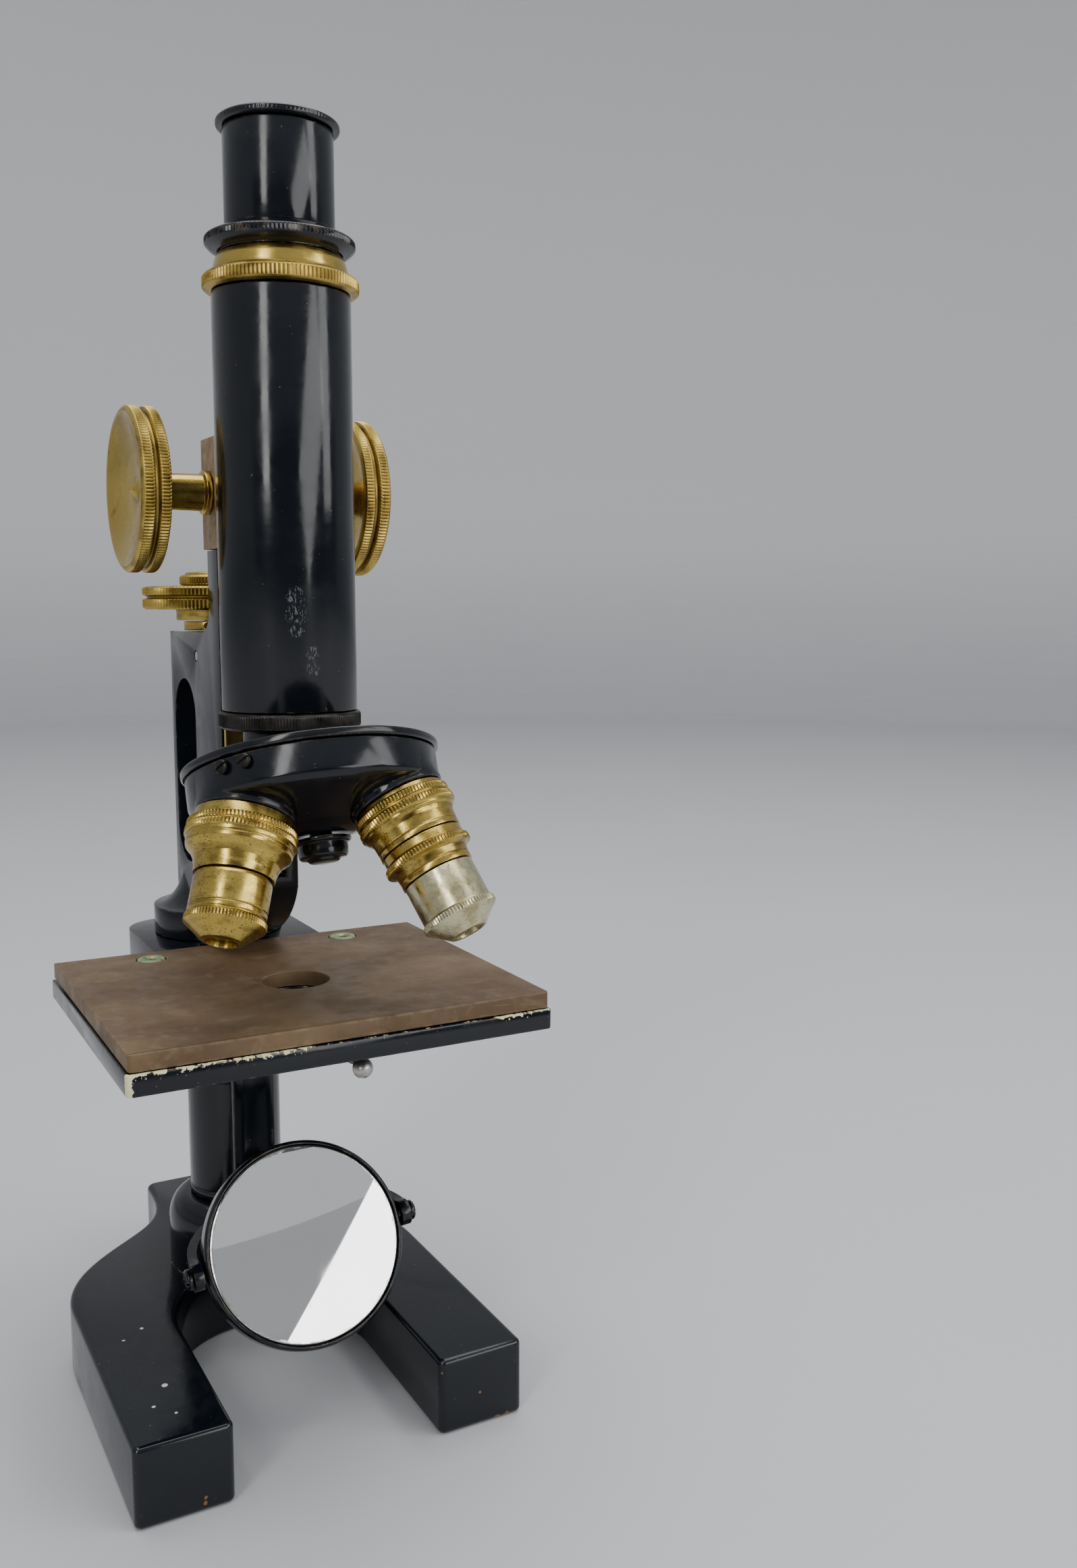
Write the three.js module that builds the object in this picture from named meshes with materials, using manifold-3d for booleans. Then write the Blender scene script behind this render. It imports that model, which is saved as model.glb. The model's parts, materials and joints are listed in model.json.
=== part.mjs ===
// Compound microscope with a handle arm and a horseshoe base. Millimetres, +Z up.
// The origin is on the table under the pillar. The stage is on the -Y side, and the optical axis is vertical.
import * as THREE from 'three';
import { mergeVertices } from 'three/addons/utils/BufferGeometryUtils.js';
import Module from 'manifold-3d';

const wasm = await Module();
wasm.setup();

// ---- driving dimensions ----
const GAP = 0.3; // between pieces that touch
const PILLAR_Y = 58; // pillar axis behind the optical axis
const HINGE_Z = 92; // inclination axis
const LUG_RADIUS = 11;
const LUG_HALF = 7;

const FOOT_OUTER = 50.4; // horseshoe base, half widths
const FOOT_INNER = 26.7;
const FOOT_FRONT = -27.7;
const BASE_HEIGHT = 20.3;
const TAIL_HALF = 13;
const TAIL_Y = 120;
const CROTCH_Y = 23; // centre of the round end between the legs
const PLINTH_RADIUS = 19.5;
const PLINTH_WALL = 34; // top of the plinth's upright wall
const PLINTH_TOP = 41;
const COLUMN_RADIUS = 13.2;
const TENON_RADIUS = 9.7;
const TENON_BOTTOM = 24.3;

const STAGE_HALF = 51.6;
const STAGE_FRONT = -41.3;
const STAGE_BACK = 46.1;
const STAGE_TOP = 117.5;
const STAGE_PLATE_TOP = 113.2;
const STAGE_PLATE_BOTTOM = 108.2;
const STAGE_HOLE = 8.5;
const CLIP_X = 27.2;
const CLIP_Y = 38.4;
const CLIP_RADIUS = 3.7;

const ARM_HALF = 10; // arm thickness is twice this
const ARM_FRONT = 25.7;
const ARM_BACK = 75.6;
const ARM_TOP = 226;
const STEP_Z = 204.6;
const ARM_FOOT_Y = 69;
const ARM_FOOT_RADIUS = 18.4;
const ARM_FOOT_BOTTOM = 117.1;
const SLOT_Y = 61.5; // handle slot
const SLOT_RADIUS = 10.8;
const SLOT_BOTTOM = 139;
const SLOT_TOP = 191.5;

const FINE_Y = 66; // fine-focus screw
const LEVER_Y = 48.5;
const LEVER_Z = 198.1;
const PINION_Y = 29.9; // coarse-focus pinion
const PINION_Z = 240.6;
const PINION_PITCH_RADIUS = 5;
const PINION_TEETH = 10;
const TOOTH_PITCH = Math.PI; // of a module 1 rack
const BLOCK_HALF = 10.6;
const BLOCK_BACK = 35.8;
const BLOCK_TOP = 254.5;
const SLIDE_FRONT = 21.8;
const SLIDE_BACK = 25.4;
const SLIDE_BOTTOM = 168;
const SLIDE_TOP = 262;

const TUBE_RADIUS = 16.5;
const TUBE_BORE = 15.3;
const TUBE_BOTTOM = 186.4;
const TUBE_TOP = 284.8;
const DRAW_RADIUS = 14;
const EYEPIECE_RADIUS = 13;
const EYEPIECE_TOP = 322;

const NOSE_Z = 214.4; // where the objective axes meet the optical axis
const NOSE_TILT = THREE.MathUtils.degToRad(20);
const NOSE_TURN = THREE.MathUtils.degToRad(-13.1); // the nosepiece rests between two click positions
const NOSE_DISC = 41.8; // distances along an axis below that point
const SHELL_TOP = 44.1;
const NOSE_RADIUS = 30.6;
const BOSS_RADIUS = 11.5;
const BOSS_END = 59.9;

const MIRROR_Y = -1.8;
const MIRROR_Z = 47.6;
const MIRROR_RING = 26;
const MIRROR_GLASS = 24.6;
const FORK_RADIUS = 28;
const FORK_ROLL = THREE.MathUtils.degToRad(-5);
const MIRROR_TILT = THREE.MathUtils.degToRad(-28);
const BAR_FRONT = 38.2;
const BAR_BACK = 42;
const BAR_PIVOT_Z = 101;
const STUD_LUG_BACK = 46.4;

// sides of the polygon that stands for a circle
const LARGE_SIDES = 20;
const MEDIUM_SIDES = 14;
const SMALL_SIDES = 10;

// ---- materials ----
const finish = (color, roughness, metalness) => new THREE.MeshStandardMaterial({ color, roughness, metalness });
const lacquer = finish(0x10141a, 0.25, 0.1);
const brass = finish(0xb08d3c, 0.3, 0.9);
const bronze = finish(0xa08560, 0.5, 0.8);
const steel = finish(0x9a9a98, 0.35, 0.9);
const nickel = finish(0xb5b29c, 0.35, 0.9);
const vulcanite = finish(0x5a3d26, 0.7, 0);
const glass = finish(0xd8e4e8, 0.05, 0);
const mirror = finish(0xe8ecee, 0.02, 1);

// ---- solids ----
function toSolid(geometry) {
  const plain = geometry.clone();
  plain.deleteAttribute('normal');
  plain.deleteAttribute('uv');
  const merged = mergeVertices(plain, 1e-4);
  const solid = new wasm.Manifold(
    new wasm.Mesh({
      numProp: 3,
      vertProperties: new Float32Array(merged.attributes.position.array),
      triVerts: new Uint32Array(merged.index.array),
    }),
  );
  return solid;
}

function toGeometry(solid) {
  const data = solid.getMesh();
  const geometry = new THREE.BufferGeometry();
  geometry.setAttribute('position', new THREE.BufferAttribute(data.vertProperties, 3));
  geometry.setIndex(new THREE.BufferAttribute(data.triVerts, 1));
  geometry.computeVertexNormals();
  return geometry;
}

function join(first, ...others) {
  return others.reduce((sum, other) => sum.add(toSolid(other)), toSolid(first));
}

function cut(solid, ...tools) {
  return tools.reduce((rest, tool) => rest.subtract(toSolid(tool)), solid);
}

// A turned body about Z. The outline is a list of [radius, z], anticlockwise with radius to the right.
function turned(outline, segments = MEDIUM_SIDES) {
  const points = outline.map(([r, z]) => new THREE.Vector2(r, z));
  const closed = outline[0][0] > 0;
  if (closed) points.push(points[0].clone());
  return new THREE.LatheGeometry(points, segments).rotateX(Math.PI / 2);
}

function disc(radius, bottom, top, segments = MEDIUM_SIDES) {
  return turned([[0, bottom], [radius, bottom], [radius, top], [0, top]], segments);
}

function ring(outer, inner, bottom, top, segments = MEDIUM_SIDES) {
  return turned([[inner, bottom], [outer, bottom], [outer, top], [inner, top]], segments);
}

function block(x, y, z) {
  const size = [x, y, z].map(([low, high]) => high - low);
  const middle = [x, y, z].map(([low, high]) => (high + low) / 2);
  return new THREE.BoxGeometry(...size).translate(...middle);
}

// A plate drawn in the YZ plane and thick along X.
function sidePlate(shape, halfThickness, segments = 8) {
  const options = { depth: 2 * halfThickness, bevelEnabled: false, curveSegments: segments };
  const geometry = new THREE.ExtrudeGeometry(shape, options);
  return geometry.translate(0, 0, -halfThickness).rotateY(Math.PI / 2).rotateX(Math.PI / 2);
}

// A cylinder along X or Y between two coordinates.
const alongX = (geometry) => geometry.rotateY(Math.PI / 2);
const alongY = (geometry) => geometry.rotateX(-Math.PI / 2);

function piece(name, shape, material) {
  const geometry = shape.isBufferGeometry ? shape : toGeometry(shape);
  const mesh = new THREE.Mesh(geometry, material);
  mesh.name = name;
  return mesh;
}

function group(...children) {
  const holder = new THREE.Group();
  holder.add(...children);
  return holder;
}

function at(object, x, y, z) {
  object.position.set(x, y, z);
  return object;
}

// ---- stand ----
function baseOutline() {
  const legCurve = 45;
  const waist = [21, 88];
  const outline = new THREE.Shape();
  outline.moveTo(FOOT_INNER, FOOT_FRONT);
  outline.lineTo(FOOT_OUTER, FOOT_FRONT);
  outline.lineTo(FOOT_OUTER, legCurve);
  outline.bezierCurveTo(FOOT_OUTER, 68, 30, 78, ...waist);
  outline.bezierCurveTo(15, 95, TAIL_HALF, 102, TAIL_HALF, TAIL_Y);
  outline.lineTo(-TAIL_HALF, TAIL_Y);
  outline.bezierCurveTo(-TAIL_HALF, 102, -15, 95, -waist[0], waist[1]);
  outline.bezierCurveTo(-30, 78, -FOOT_OUTER, 68, -FOOT_OUTER, legCurve);
  outline.lineTo(-FOOT_OUTER, FOOT_FRONT);
  outline.lineTo(-FOOT_INNER, FOOT_FRONT);
  outline.lineTo(-FOOT_INNER, CROTCH_Y);
  outline.absarc(0, CROTCH_Y, FOOT_INNER, Math.PI, 0, true);
  outline.lineTo(FOOT_INNER, FOOT_FRONT);
  return outline;
}

function plinthOutline() {
  const outline = [[0, BASE_HEIGHT], [PLINTH_RADIUS, BASE_HEIGHT], [PLINTH_RADIUS, PLINTH_WALL]];
  const shoulder = PLINTH_RADIUS - COLUMN_RADIUS - 1;
  const steps = 4;
  for (let i = 1; i <= steps; i += 1) {
    const angle = (i / steps) * (Math.PI / 2);
    const radius = PLINTH_RADIUS - shoulder + shoulder * Math.cos(angle);
    outline.push([radius, PLINTH_WALL + (PLINTH_TOP - PLINTH_WALL) * Math.sin(angle)]);
  }
  outline.push([0, PLINTH_TOP]);
  return outline;
}

function base() {
  const options = { depth: BASE_HEIGHT, bevelEnabled: false, curveSegments: 12 };
  const foot = new THREE.ExtrudeGeometry(baseOutline(), options);
  const plinth = turned(plinthOutline(), LARGE_SIDES).translate(0, PILLAR_Y, 0);
  const socket = disc(TENON_RADIUS + GAP, TENON_BOTTOM - GAP, PLINTH_TOP + 1, LARGE_SIDES).translate(0, PILLAR_Y, 0);
  return piece('horseshoe_base', cut(join(foot, plinth), socket), lacquer);
}

function pillar() {
  const shoulder = 79;
  const column = turned(
    [[0, TENON_BOTTOM], [TENON_RADIUS, TENON_BOTTOM], [TENON_RADIUS, PLINTH_TOP + GAP], [COLUMN_RADIUS, PLINTH_TOP + GAP],
      [COLUMN_RADIUS, shoulder - 2], [COLUMN_RADIUS - 2, shoulder], [0, shoulder]],
    LARGE_SIDES,
  );
  const lug = alongX(disc(LUG_RADIUS, -LUG_HALF, LUG_HALF, MEDIUM_SIDES)).translate(0, 0, HINGE_Z);
  const neck = block([-LUG_HALF, LUG_HALF], [-LUG_RADIUS, LUG_RADIUS], [shoulder - 4, HINGE_Z]);
  const bore = alongX(disc(4.3, -LUG_HALF - 1, LUG_HALF + 1, SMALL_SIDES)).translate(0, 0, HINGE_Z);
  return at(piece('pillar', cut(join(column, lug, neck), bore), lacquer), 0, PILLAR_Y, 0);
}

function hingeAxle() {
  return at(piece('hinge_axle', alongX(disc(4, -19.5, 19.5, SMALL_SIDES)), steel), 0, PILLAR_Y, HINGE_Z);
}

function hingeNut(name, side) {
  const outline = [[4.3, 0], [8, 0], [8, 2.6], [6.4, 4.2], [4.3, 4.2]];
  const nut = piece(name, turned(outline, MEDIUM_SIDES), steel);
  nut.rotation.y = (side * Math.PI) / 2;
  return at(nut, side * 15.6, PILLAR_Y, HINGE_Z);
}

// ---- limb and stage ----
function stageBracket() {
  const half = 24;
  const corner = 12;
  const back = 90;
  const plan = new THREE.Shape();
  plan.moveTo(-half, STAGE_BACK + GAP);
  plan.lineTo(half, STAGE_BACK + GAP);
  plan.lineTo(half, back - corner);
  plan.absarc(half - corner, back - corner, corner, 0, Math.PI / 2, false);
  plan.lineTo(corner - half, back);
  plan.absarc(corner - half, back - corner, corner, Math.PI / 2, Math.PI, false);
  plan.lineTo(-half, STAGE_BACK + GAP);
  const options = { depth: 8.9, bevelEnabled: false, curveSegments: 6 };
  const top = new THREE.ExtrudeGeometry(plan, options).translate(0, 0, STAGE_PLATE_BOTTOM - GAP);
  const shelf = block([-20, 20], [BAR_BACK + GAP, 68], [103.6, 108.2]);
  const ears = [-14, 14].map((x) => block([x - 6, x + 6], [34, 44], [103.6, 108.2]));
  const lug = block([-8, 8], [BAR_BACK + GAP, STUD_LUG_BACK], [95, 104.5]);
  const cheeks = [-1, 1].map((side) => {
    const low = side > 0 ? 7.4 : -15;
    const high = low + 7.6;
    const round = alongX(disc(9.5, low, high, MEDIUM_SIDES)).translate(0, PILLAR_Y, HINGE_Z);
    const web = block([low, high], [PILLAR_Y - 9.5, PILLAR_Y + 9.5], [HINGE_Z, 104.5]);
    return [round, web];
  });
  const bore = alongX(disc(4.3, -16, 16, SMALL_SIDES)).translate(0, PILLAR_Y, HINGE_Z);
  return piece('stage_bracket', cut(join(top, shelf, ...ears, lug, ...cheeks.flat()), bore, studBore()), lacquer);
}

function studBore() {
  return alongY(disc(2.6, BAR_BACK - 1, STUD_LUG_BACK - 0.6, SMALL_SIDES)).translate(0, 0, BAR_PIVOT_Z);
}

function stagePlate() {
  const body = toSolid(block([-STAGE_HALF, STAGE_HALF], [STAGE_FRONT, STAGE_BACK], [STAGE_PLATE_BOTTOM, STAGE_PLATE_TOP]));
  const hole = disc(STAGE_HOLE + 0.6, 100, 120, MEDIUM_SIDES);
  return piece('stage_plate', cut(body, hole, ...clipHoles(1.9)), lacquer);
}

function clipHoles(radius) {
  return [-1, 1].map((side) => disc(radius, 100, 120, SMALL_SIDES).translate(side * CLIP_X, CLIP_Y, 0));
}

function stageTop() {
  const inset = 0.6;
  const half = STAGE_HALF - inset;
  const body = toSolid(block([-half, half], [STAGE_FRONT + inset, STAGE_BACK], [STAGE_PLATE_TOP + GAP, STAGE_TOP]));
  return piece('stage_top', cut(body, disc(STAGE_HOLE, 100, 120, LARGE_SIDES), ...clipHoles(CLIP_RADIUS + GAP)), vulcanite);
}

function clipSocket(name, side) {
  const outline = [[1.5, STAGE_PLATE_TOP + GAP], [CLIP_RADIUS, STAGE_PLATE_TOP + GAP],
    [CLIP_RADIUS, STAGE_TOP], [CLIP_RADIUS - 0.4, STAGE_TOP + 0.25], [1.5, STAGE_TOP + 0.25]];
  return at(piece(name, turned(outline, SMALL_SIDES), brass), side * CLIP_X, CLIP_Y, 0);
}

function stageScrew(name, side) {
  const outline = [[0, 101.4], [2.6, 101.4], [3.2, 102], [3.2, 103.3], [0, 103.3]];
  return at(piece(name, turned(outline, SMALL_SIDES), steel), side * 15.5, 38.5, 0);
}

function armOutline() {
  const outline = new THREE.Shape();
  outline.moveTo(ARM_FRONT, 136);
  outline.bezierCurveTo(30, 126, 42, 120, 54, ARM_FOOT_BOTTOM + 1);
  outline.lineTo(ARM_BACK, ARM_FOOT_BOTTOM + 1);
  outline.lineTo(ARM_BACK, STEP_Z);
  outline.lineTo(43.3, STEP_Z);
  outline.bezierCurveTo(37, STEP_Z, 34.4, 207, 34.4, 212);
  outline.lineTo(34.4, ARM_TOP);
  outline.lineTo(ARM_FRONT, ARM_TOP);
  outline.lineTo(ARM_FRONT, 136);
  return outline;
}

function slotOutline() {
  const outline = new THREE.Shape();
  outline.absarc(SLOT_Y, SLOT_TOP - SLOT_RADIUS, SLOT_RADIUS, 0, Math.PI, false);
  outline.absarc(SLOT_Y, SLOT_BOTTOM + SLOT_RADIUS, SLOT_RADIUS, Math.PI, 2 * Math.PI, false);
  return outline;
}

function armFoot() {
  const rim = 125.2;
  const outline = [[0, ARM_FOOT_BOTTOM], [ARM_FOOT_RADIUS, ARM_FOOT_BOTTOM], [ARM_FOOT_RADIUS, rim]];
  const steps = 5;
  for (let i = 1; i <= steps; i += 1) {
    const angle = (i / steps) * (Math.PI / 2);
    outline.push([ARM_FOOT_RADIUS - 8.6 * Math.sin(angle), rim + 12 * (1 - Math.cos(angle))]);
  }
  outline.push([0, rim + 12]);
  return turned(outline, LARGE_SIDES).translate(0, ARM_FOOT_Y, 0);
}

function arm() {
  const body = join(sidePlate(armOutline(), ARM_HALF), armFoot());
  const slot = sidePlate(slotOutline(), 30, 10);
  const channel = block([-6.8, 6.8], [ARM_FRONT - 1, 31.4], [139, ARM_TOP + 1]);
  const leverSpace = block([-2.9, 2.9], [31, 71], [194, 202]);
  const screwBore = disc(2.9, 201, STEP_Z + 1, SMALL_SIDES).translate(0, FINE_Y, 0);
  const pinBore = alongX(disc(1.6, -11, 11, SMALL_SIDES)).translate(0, LEVER_Y, LEVER_Z);
  return piece('arm', cut(body, slot, channel, leverSpace, screwBore, pinBore), lacquer);
}

// ---- iris under the stage ----
function irisHousing() {
  return piece('iris_housing', ring(17.5, 9.6, 103.6, 107.9, MEDIUM_SIDES), lacquer);
}

function irisLeaves() {
  return piece('iris_leaves', ring(9.2, 3, 104.6, 105.2, MEDIUM_SIDES), steel);
}

function irisLever() {
  const reach = 30;
  const body = join(
    ring(16.8, 10, 100.6, 103.3, MEDIUM_SIDES),
    block([-1.4, 1.4], [-reach, -15], [101.1, 102.8]),
    new THREE.SphereGeometry(2.5, 12, 6).translate(0, -reach, 102),
  );
  const lever = piece('iris_lever', body, steel);
  lever.rotation.z = THREE.MathUtils.degToRad(12);
  return lever;
}

// ---- fine focus ----
function fineFocus() {
  const neck = piece('fine_neck', ring(8.2, 2.9, STEP_Z + GAP, 207.4, MEDIUM_SIDES), brass);
  const head = piece(
    'fine_head',
    turned([[2.9, 207.7], [10.2, 207.7], [10.2, 210.7], [18.4, 210.7], [19.4, 211.4], [19.4, 213.4], [18.3, 213.9],
      [18.3, 214.4], [19.4, 214.9], [19.4, 216.6], [18.2, 217.2], [2.9, 217.2]], LARGE_SIDES),
    brass,
  );
  const cap = piece(
    'fine_lock_cap',
    turned([[0, 217.5], [8.6, 217.5], [9.1, 218], [9.1, 219.9], [8.4, 220.4], [7.6, 220.5], [7.4, 221.3], [0, 221.3]], MEDIUM_SIDES),
    brass,
  );
  const spindle = piece('fine_spindle', disc(2.5, 199.2, 217, SMALL_SIDES), steel);
  return at(group(neck, head, cap, spindle), 0, FINE_Y, 0);
}

function fineLever() {
  const boss = alongX(disc(3.1, -2.3, 2.3, SMALL_SIDES)).translate(0, LEVER_Y, LEVER_Z);
  const body = join(block([-2.3, 2.3], [28.9, 69], [LEVER_Z - 1.6, LEVER_Z + 1.6]), boss);
  const bore = alongX(disc(1.6, -4, 4, SMALL_SIDES)).translate(0, LEVER_Y, LEVER_Z);
  const relief = block([-3, 3], [LEVER_Y + 13, 70], [LEVER_Z + 0.4, LEVER_Z + 3]);
  const lever = piece('fine_lever', cut(body, bore, relief), steel);
  const pin = piece('fine_lever_pin', alongX(disc(1.3, -9.9, 9.9, SMALL_SIDES)), steel);
  return group(lever, at(pin, 0, LEVER_Y, LEVER_Z));
}

class Helix extends THREE.Curve {
  constructor(radius, height, turns) {
    super();
    Object.assign(this, { radius, height, turns });
  }

  getPoint(t, target = new THREE.Vector3()) {
    const angle = 2 * Math.PI * this.turns * t;
    return target.set(this.radius * Math.cos(angle), this.radius * Math.sin(angle), this.height * t);
  }
}

function returnSpring() {
  const wire = 0.45;
  const section = new THREE.Shape();
  section.absarc(0, 0, wire, 0, 2 * Math.PI, false);
  const route = new Helix(1.9, 10.6, 4);
  const options = { steps: 32, extrudePath: route, curveSegments: 2, bevelEnabled: false };
  const spring = piece('fine_return_spring', toSolid(new THREE.ExtrudeGeometry(section, options)), steel);
  return at(spring, 0, 28.4, 140);
}

// ---- coarse focus ----
function focusBlock() {
  const front = SLIDE_FRONT + 2.1;
  const body = join(
    block([-BLOCK_HALF, BLOCK_HALF], [front, BLOCK_BACK], [ARM_TOP + GAP, BLOCK_TOP]),
    block([-6.4, 6.4], [26, 31], [152, ARM_TOP + 1]),
  );
  const groove = new THREE.Shape();
  groove.moveTo(-7.5, front - 1);
  groove.lineTo(7.5, front - 1);
  groove.lineTo(9.1, SLIDE_BACK + GAP);
  groove.lineTo(-9.1, SLIDE_BACK + GAP);
  const dovetail = new THREE.ExtrudeGeometry(groove, { depth: 40, bevelEnabled: false }).translate(0, 0, 220);
  const pinionAxis = (radius, half) => alongX(disc(radius, -half, half, MEDIUM_SIDES)).translate(0, PINION_Y, PINION_Z);
  const notch = block([-2.9, 2.9], [28.5, 32], [LEVER_Z - 2.2, LEVER_Z + 2.2]);
  return piece('focus_block', cut(body, dovetail, pinionAxis(2.4, 14), pinionAxis(6.3, 5.2), notch), bronze);
}

function gearOutline() {
  const outer = PINION_PITCH_RADIUS + 0.65;
  const root = PINION_PITCH_RADIUS - 0.85;
  const outline = new THREE.Shape();
  for (let tooth = 0; tooth < PINION_TEETH; tooth += 1) {
    const middle = (tooth * 2 * Math.PI) / PINION_TEETH;
    const corners = [[root, -0.19], [outer, -0.075], [outer, 0.075], [root, 0.19]];
    corners.forEach(([radius, offset]) => {
      const x = radius * Math.cos(middle + offset);
      const y = radius * Math.sin(middle + offset);
      if (tooth === 0 && offset === -0.19) outline.moveTo(x, y);
      else outline.lineTo(x, y);
    });
  }
  return outline;
}

function pinion() {
  const gear = new THREE.ExtrudeGeometry(gearOutline(), { depth: 8.4, bevelEnabled: false }).translate(0, 0, -4.2);
  const body = join(alongX(disc(2, -26.6, 26.6, SMALL_SIDES)), gear.rotateZ(Math.PI / 2).rotateY(Math.PI / 2));
  return at(piece('coarse_pinion', body, steel), 0, PINION_Y, PINION_Z);
}

function knob(name, side) {
  const rim = 20.6;
  const outline = [[0, 27], [2.4, 27], [2.4, 24.5], [18.6, 24.5], [rim, 25.1], [rim, 26.6], [19.4, 27.4], [19.4, 29],
    [rim, 29.8], [rim, 31.4], [19.3, 32.2], [17.8, 31.6], [13, 29.7], [7, 28.4], [3.2, 28.3], [1.2, 29.9], [0, 30.5]];
  const body = piece(name, turned(outline, LARGE_SIDES), brass);
  body.rotation.y = (side * Math.PI) / 2;
  return at(body, 0, PINION_Y, PINION_Z);
}

function sleeve(name, side) {
  const body = piece(name, ring(4.6, 2.4, BLOCK_HALF + GAP, 24.2, MEDIUM_SIDES), brass);
  body.rotation.y = (side * Math.PI) / 2;
  return at(body, 0, PINION_Y, PINION_Z);
}

function tubeSlide() {
  const section = new THREE.Shape();
  section.moveTo(-ARM_HALF, SLIDE_FRONT);
  section.lineTo(ARM_HALF, SLIDE_FRONT);
  section.lineTo(ARM_HALF, SLIDE_FRONT + 1.8);
  section.lineTo(7.2, SLIDE_FRONT + 1.8);
  section.lineTo(8.8, SLIDE_BACK);
  section.lineTo(-8.8, SLIDE_BACK);
  section.lineTo(-7.2, SLIDE_FRONT + 1.8);
  section.lineTo(-ARM_HALF, SLIDE_FRONT + 1.8);
  const options = { depth: SLIDE_TOP - SLIDE_BOTTOM, bevelEnabled: false };
  const bar = new THREE.ExtrudeGeometry(section, options).translate(0, 0, SLIDE_BOTTOM);
  const saddle = block([-7.5, 7.5], [13, SLIDE_FRONT + 0.5], [190, SLIDE_TOP]);
  const tubeSpace = disc(TUBE_RADIUS + GAP, 180, 270, LARGE_SIDES);
  const rackSpace = block([-4.6, 4.6], [22.9, 30], [176, 256]);
  return piece('tube_slide', cut(join(bar, saddle), tubeSpace, rackSpace), brass);
}

function rack() {
  const tip = SLIDE_BACK - 0.1;
  const root = tip - 1.45;
  const pitchOffset = TOOTH_PITCH / 2;
  const low = PINION_Z - pitchOffset - 19 * TOOTH_PITCH;
  const outline = new THREE.Shape();
  outline.moveTo(23.2, low - 1);
  outline.lineTo(root, low - 1);
  for (let tooth = 0; tooth < 23; tooth += 1) {
    const z = low + tooth * TOOTH_PITCH;
    outline.lineTo(root, z - 0.85);
    outline.lineTo(tip, z - 0.4);
    outline.lineTo(tip, z + 0.4);
    outline.lineTo(root, z + 0.85);
  }
  outline.lineTo(23.2, low + 22 * TOOTH_PITCH + 1);
  outline.lineTo(23.2, low - 1);
  return piece('rack', sidePlate(outline, 4.3), steel);
}

// ---- body tube ----
function bodyTube() {
  const tube = piece('main_tube', ring(TUBE_RADIUS, TUBE_BORE, TUBE_BOTTOM, TUBE_TOP, LARGE_SIDES), lacquer);
  const lowerRing = piece(
    'tube_lower_ring',
    turned([[12, 181.8], [16.4, 181.8], [17.4, 182.8], [17.4, 185.2], [16.6, 186.1], [12, 186.1]], LARGE_SIDES),
    lacquer,
  );
  const collar = piece(
    'tube_collar',
    turned([[14.4, 278], [15, 278], [15, 285.1], [16.6, 285.1], [18.5, 286], [18.5, 288.2], [17, 289.2], [15.6, 289.6],
      [14.9, 293.7], [14.4, 293.7]], LARGE_SIDES),
    brass,
  );
  return group(tube, lowerRing, collar);
}

function drawTube() {
  const tube = piece('draw_tube', ring(DRAW_RADIUS, 12.7, 222, 296.2, LARGE_SIDES), nickel);
  const flange = piece(
    'draw_tube_flange',
    turned([[14.3, 294], [15.2, 294], [17.2, 295.4], [17.75, 296.4], [17.5, 297.4], [16.6, 298.2], [15, 299],
      [12.7, 299.4], [12.7, 296.5], [14.3, 296.5]], LARGE_SIDES),
    lacquer,
  );
  return group(tube, flange);
}

function eyepiece() {
  const body = piece(
    'eyepiece_body',
    turned([[11, 258], [12.4, 258], [12.4, 299.7], [EYEPIECE_RADIUS, 299.7], [EYEPIECE_RADIUS, EYEPIECE_TOP],
      [11, EYEPIECE_TOP]], LARGE_SIDES),
    lacquer,
  );
  const cap = piece(
    'eyepiece_cap',
    turned([[4, 320.6], [10.7, 320.6], [10.7, 322.3], [13.9, 322.3], [14.5, 322.9], [14.5, 323.8], [14, 324.2],
      [12.6, 324.2], [5.5, 322.4], [4, 322.4]], LARGE_SIDES),
    lacquer,
  );
  const lens = (z, radius, name) => {
    const outline = [[0, z], [radius, z], [radius, z + 1.2], [radius * 0.7, z + 2.2], [radius * 0.35, z + 2.8], [0, z + 3]];
    return piece(name, turned(outline, MEDIUM_SIDES), glass);
  };
  return group(body, cap, lens(316.6, 10.6, 'eye_lens'), lens(262, 10.6, 'field_lens'));
}

// ---- nosepiece, drawn along -Z below the point where its axes meet ----
function nosepieceMount() {
  const plate = disc(NOSE_RADIUS, -NOSE_DISC - 2, -NOSE_DISC, LARGE_SIDES);
  const neck = disc(11.6, 181.5 - NOSE_Z - 14, 181.5 - NOSE_Z, MEDIUM_SIDES).rotateX(NOSE_TILT);
  const below = disc(50, -NOSE_DISC - 30, -NOSE_DISC - 2, SMALL_SIDES);
  const lightBore = disc(9, -70, -20, MEDIUM_SIDES).rotateX(NOSE_TILT);
  const pivotBore = disc(2.3, -60, -30, SMALL_SIDES);
  return piece('nosepiece_mount', cut(join(plate, neck), below, lightBore, pivotBore), lacquer);
}

function nosepieceShell() {
  const outer = [[29.8, -SHELL_TOP], [27.6, -SHELL_TOP], [27.6, -50], [13, -55.6], [8, -56.4], [8, -SHELL_TOP],
    [2.9, -SHELL_TOP], [2.9, -60.8], [7.6, -60.8], [13, -58.2], [25, -54.2], [28.6, -52.4], [29.8, -51.2]];
  const bosses = [];
  const bores = [];
  for (let socket = 0; socket < 3; socket += 1) {
    const turn = (socket * 2 * Math.PI) / 3;
    bosses.push(disc(BOSS_RADIUS, -BOSS_END, -52, MEDIUM_SIDES).rotateX(NOSE_TILT).rotateZ(turn));
    bores.push(disc(9.3, -BOSS_END - 6, -36, MEDIUM_SIDES).rotateX(NOSE_TILT).rotateZ(turn));
  }
  return piece('nosepiece_shell', cut(join(turned(outer, LARGE_SIDES), ...bosses), ...bores), lacquer);
}

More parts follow.
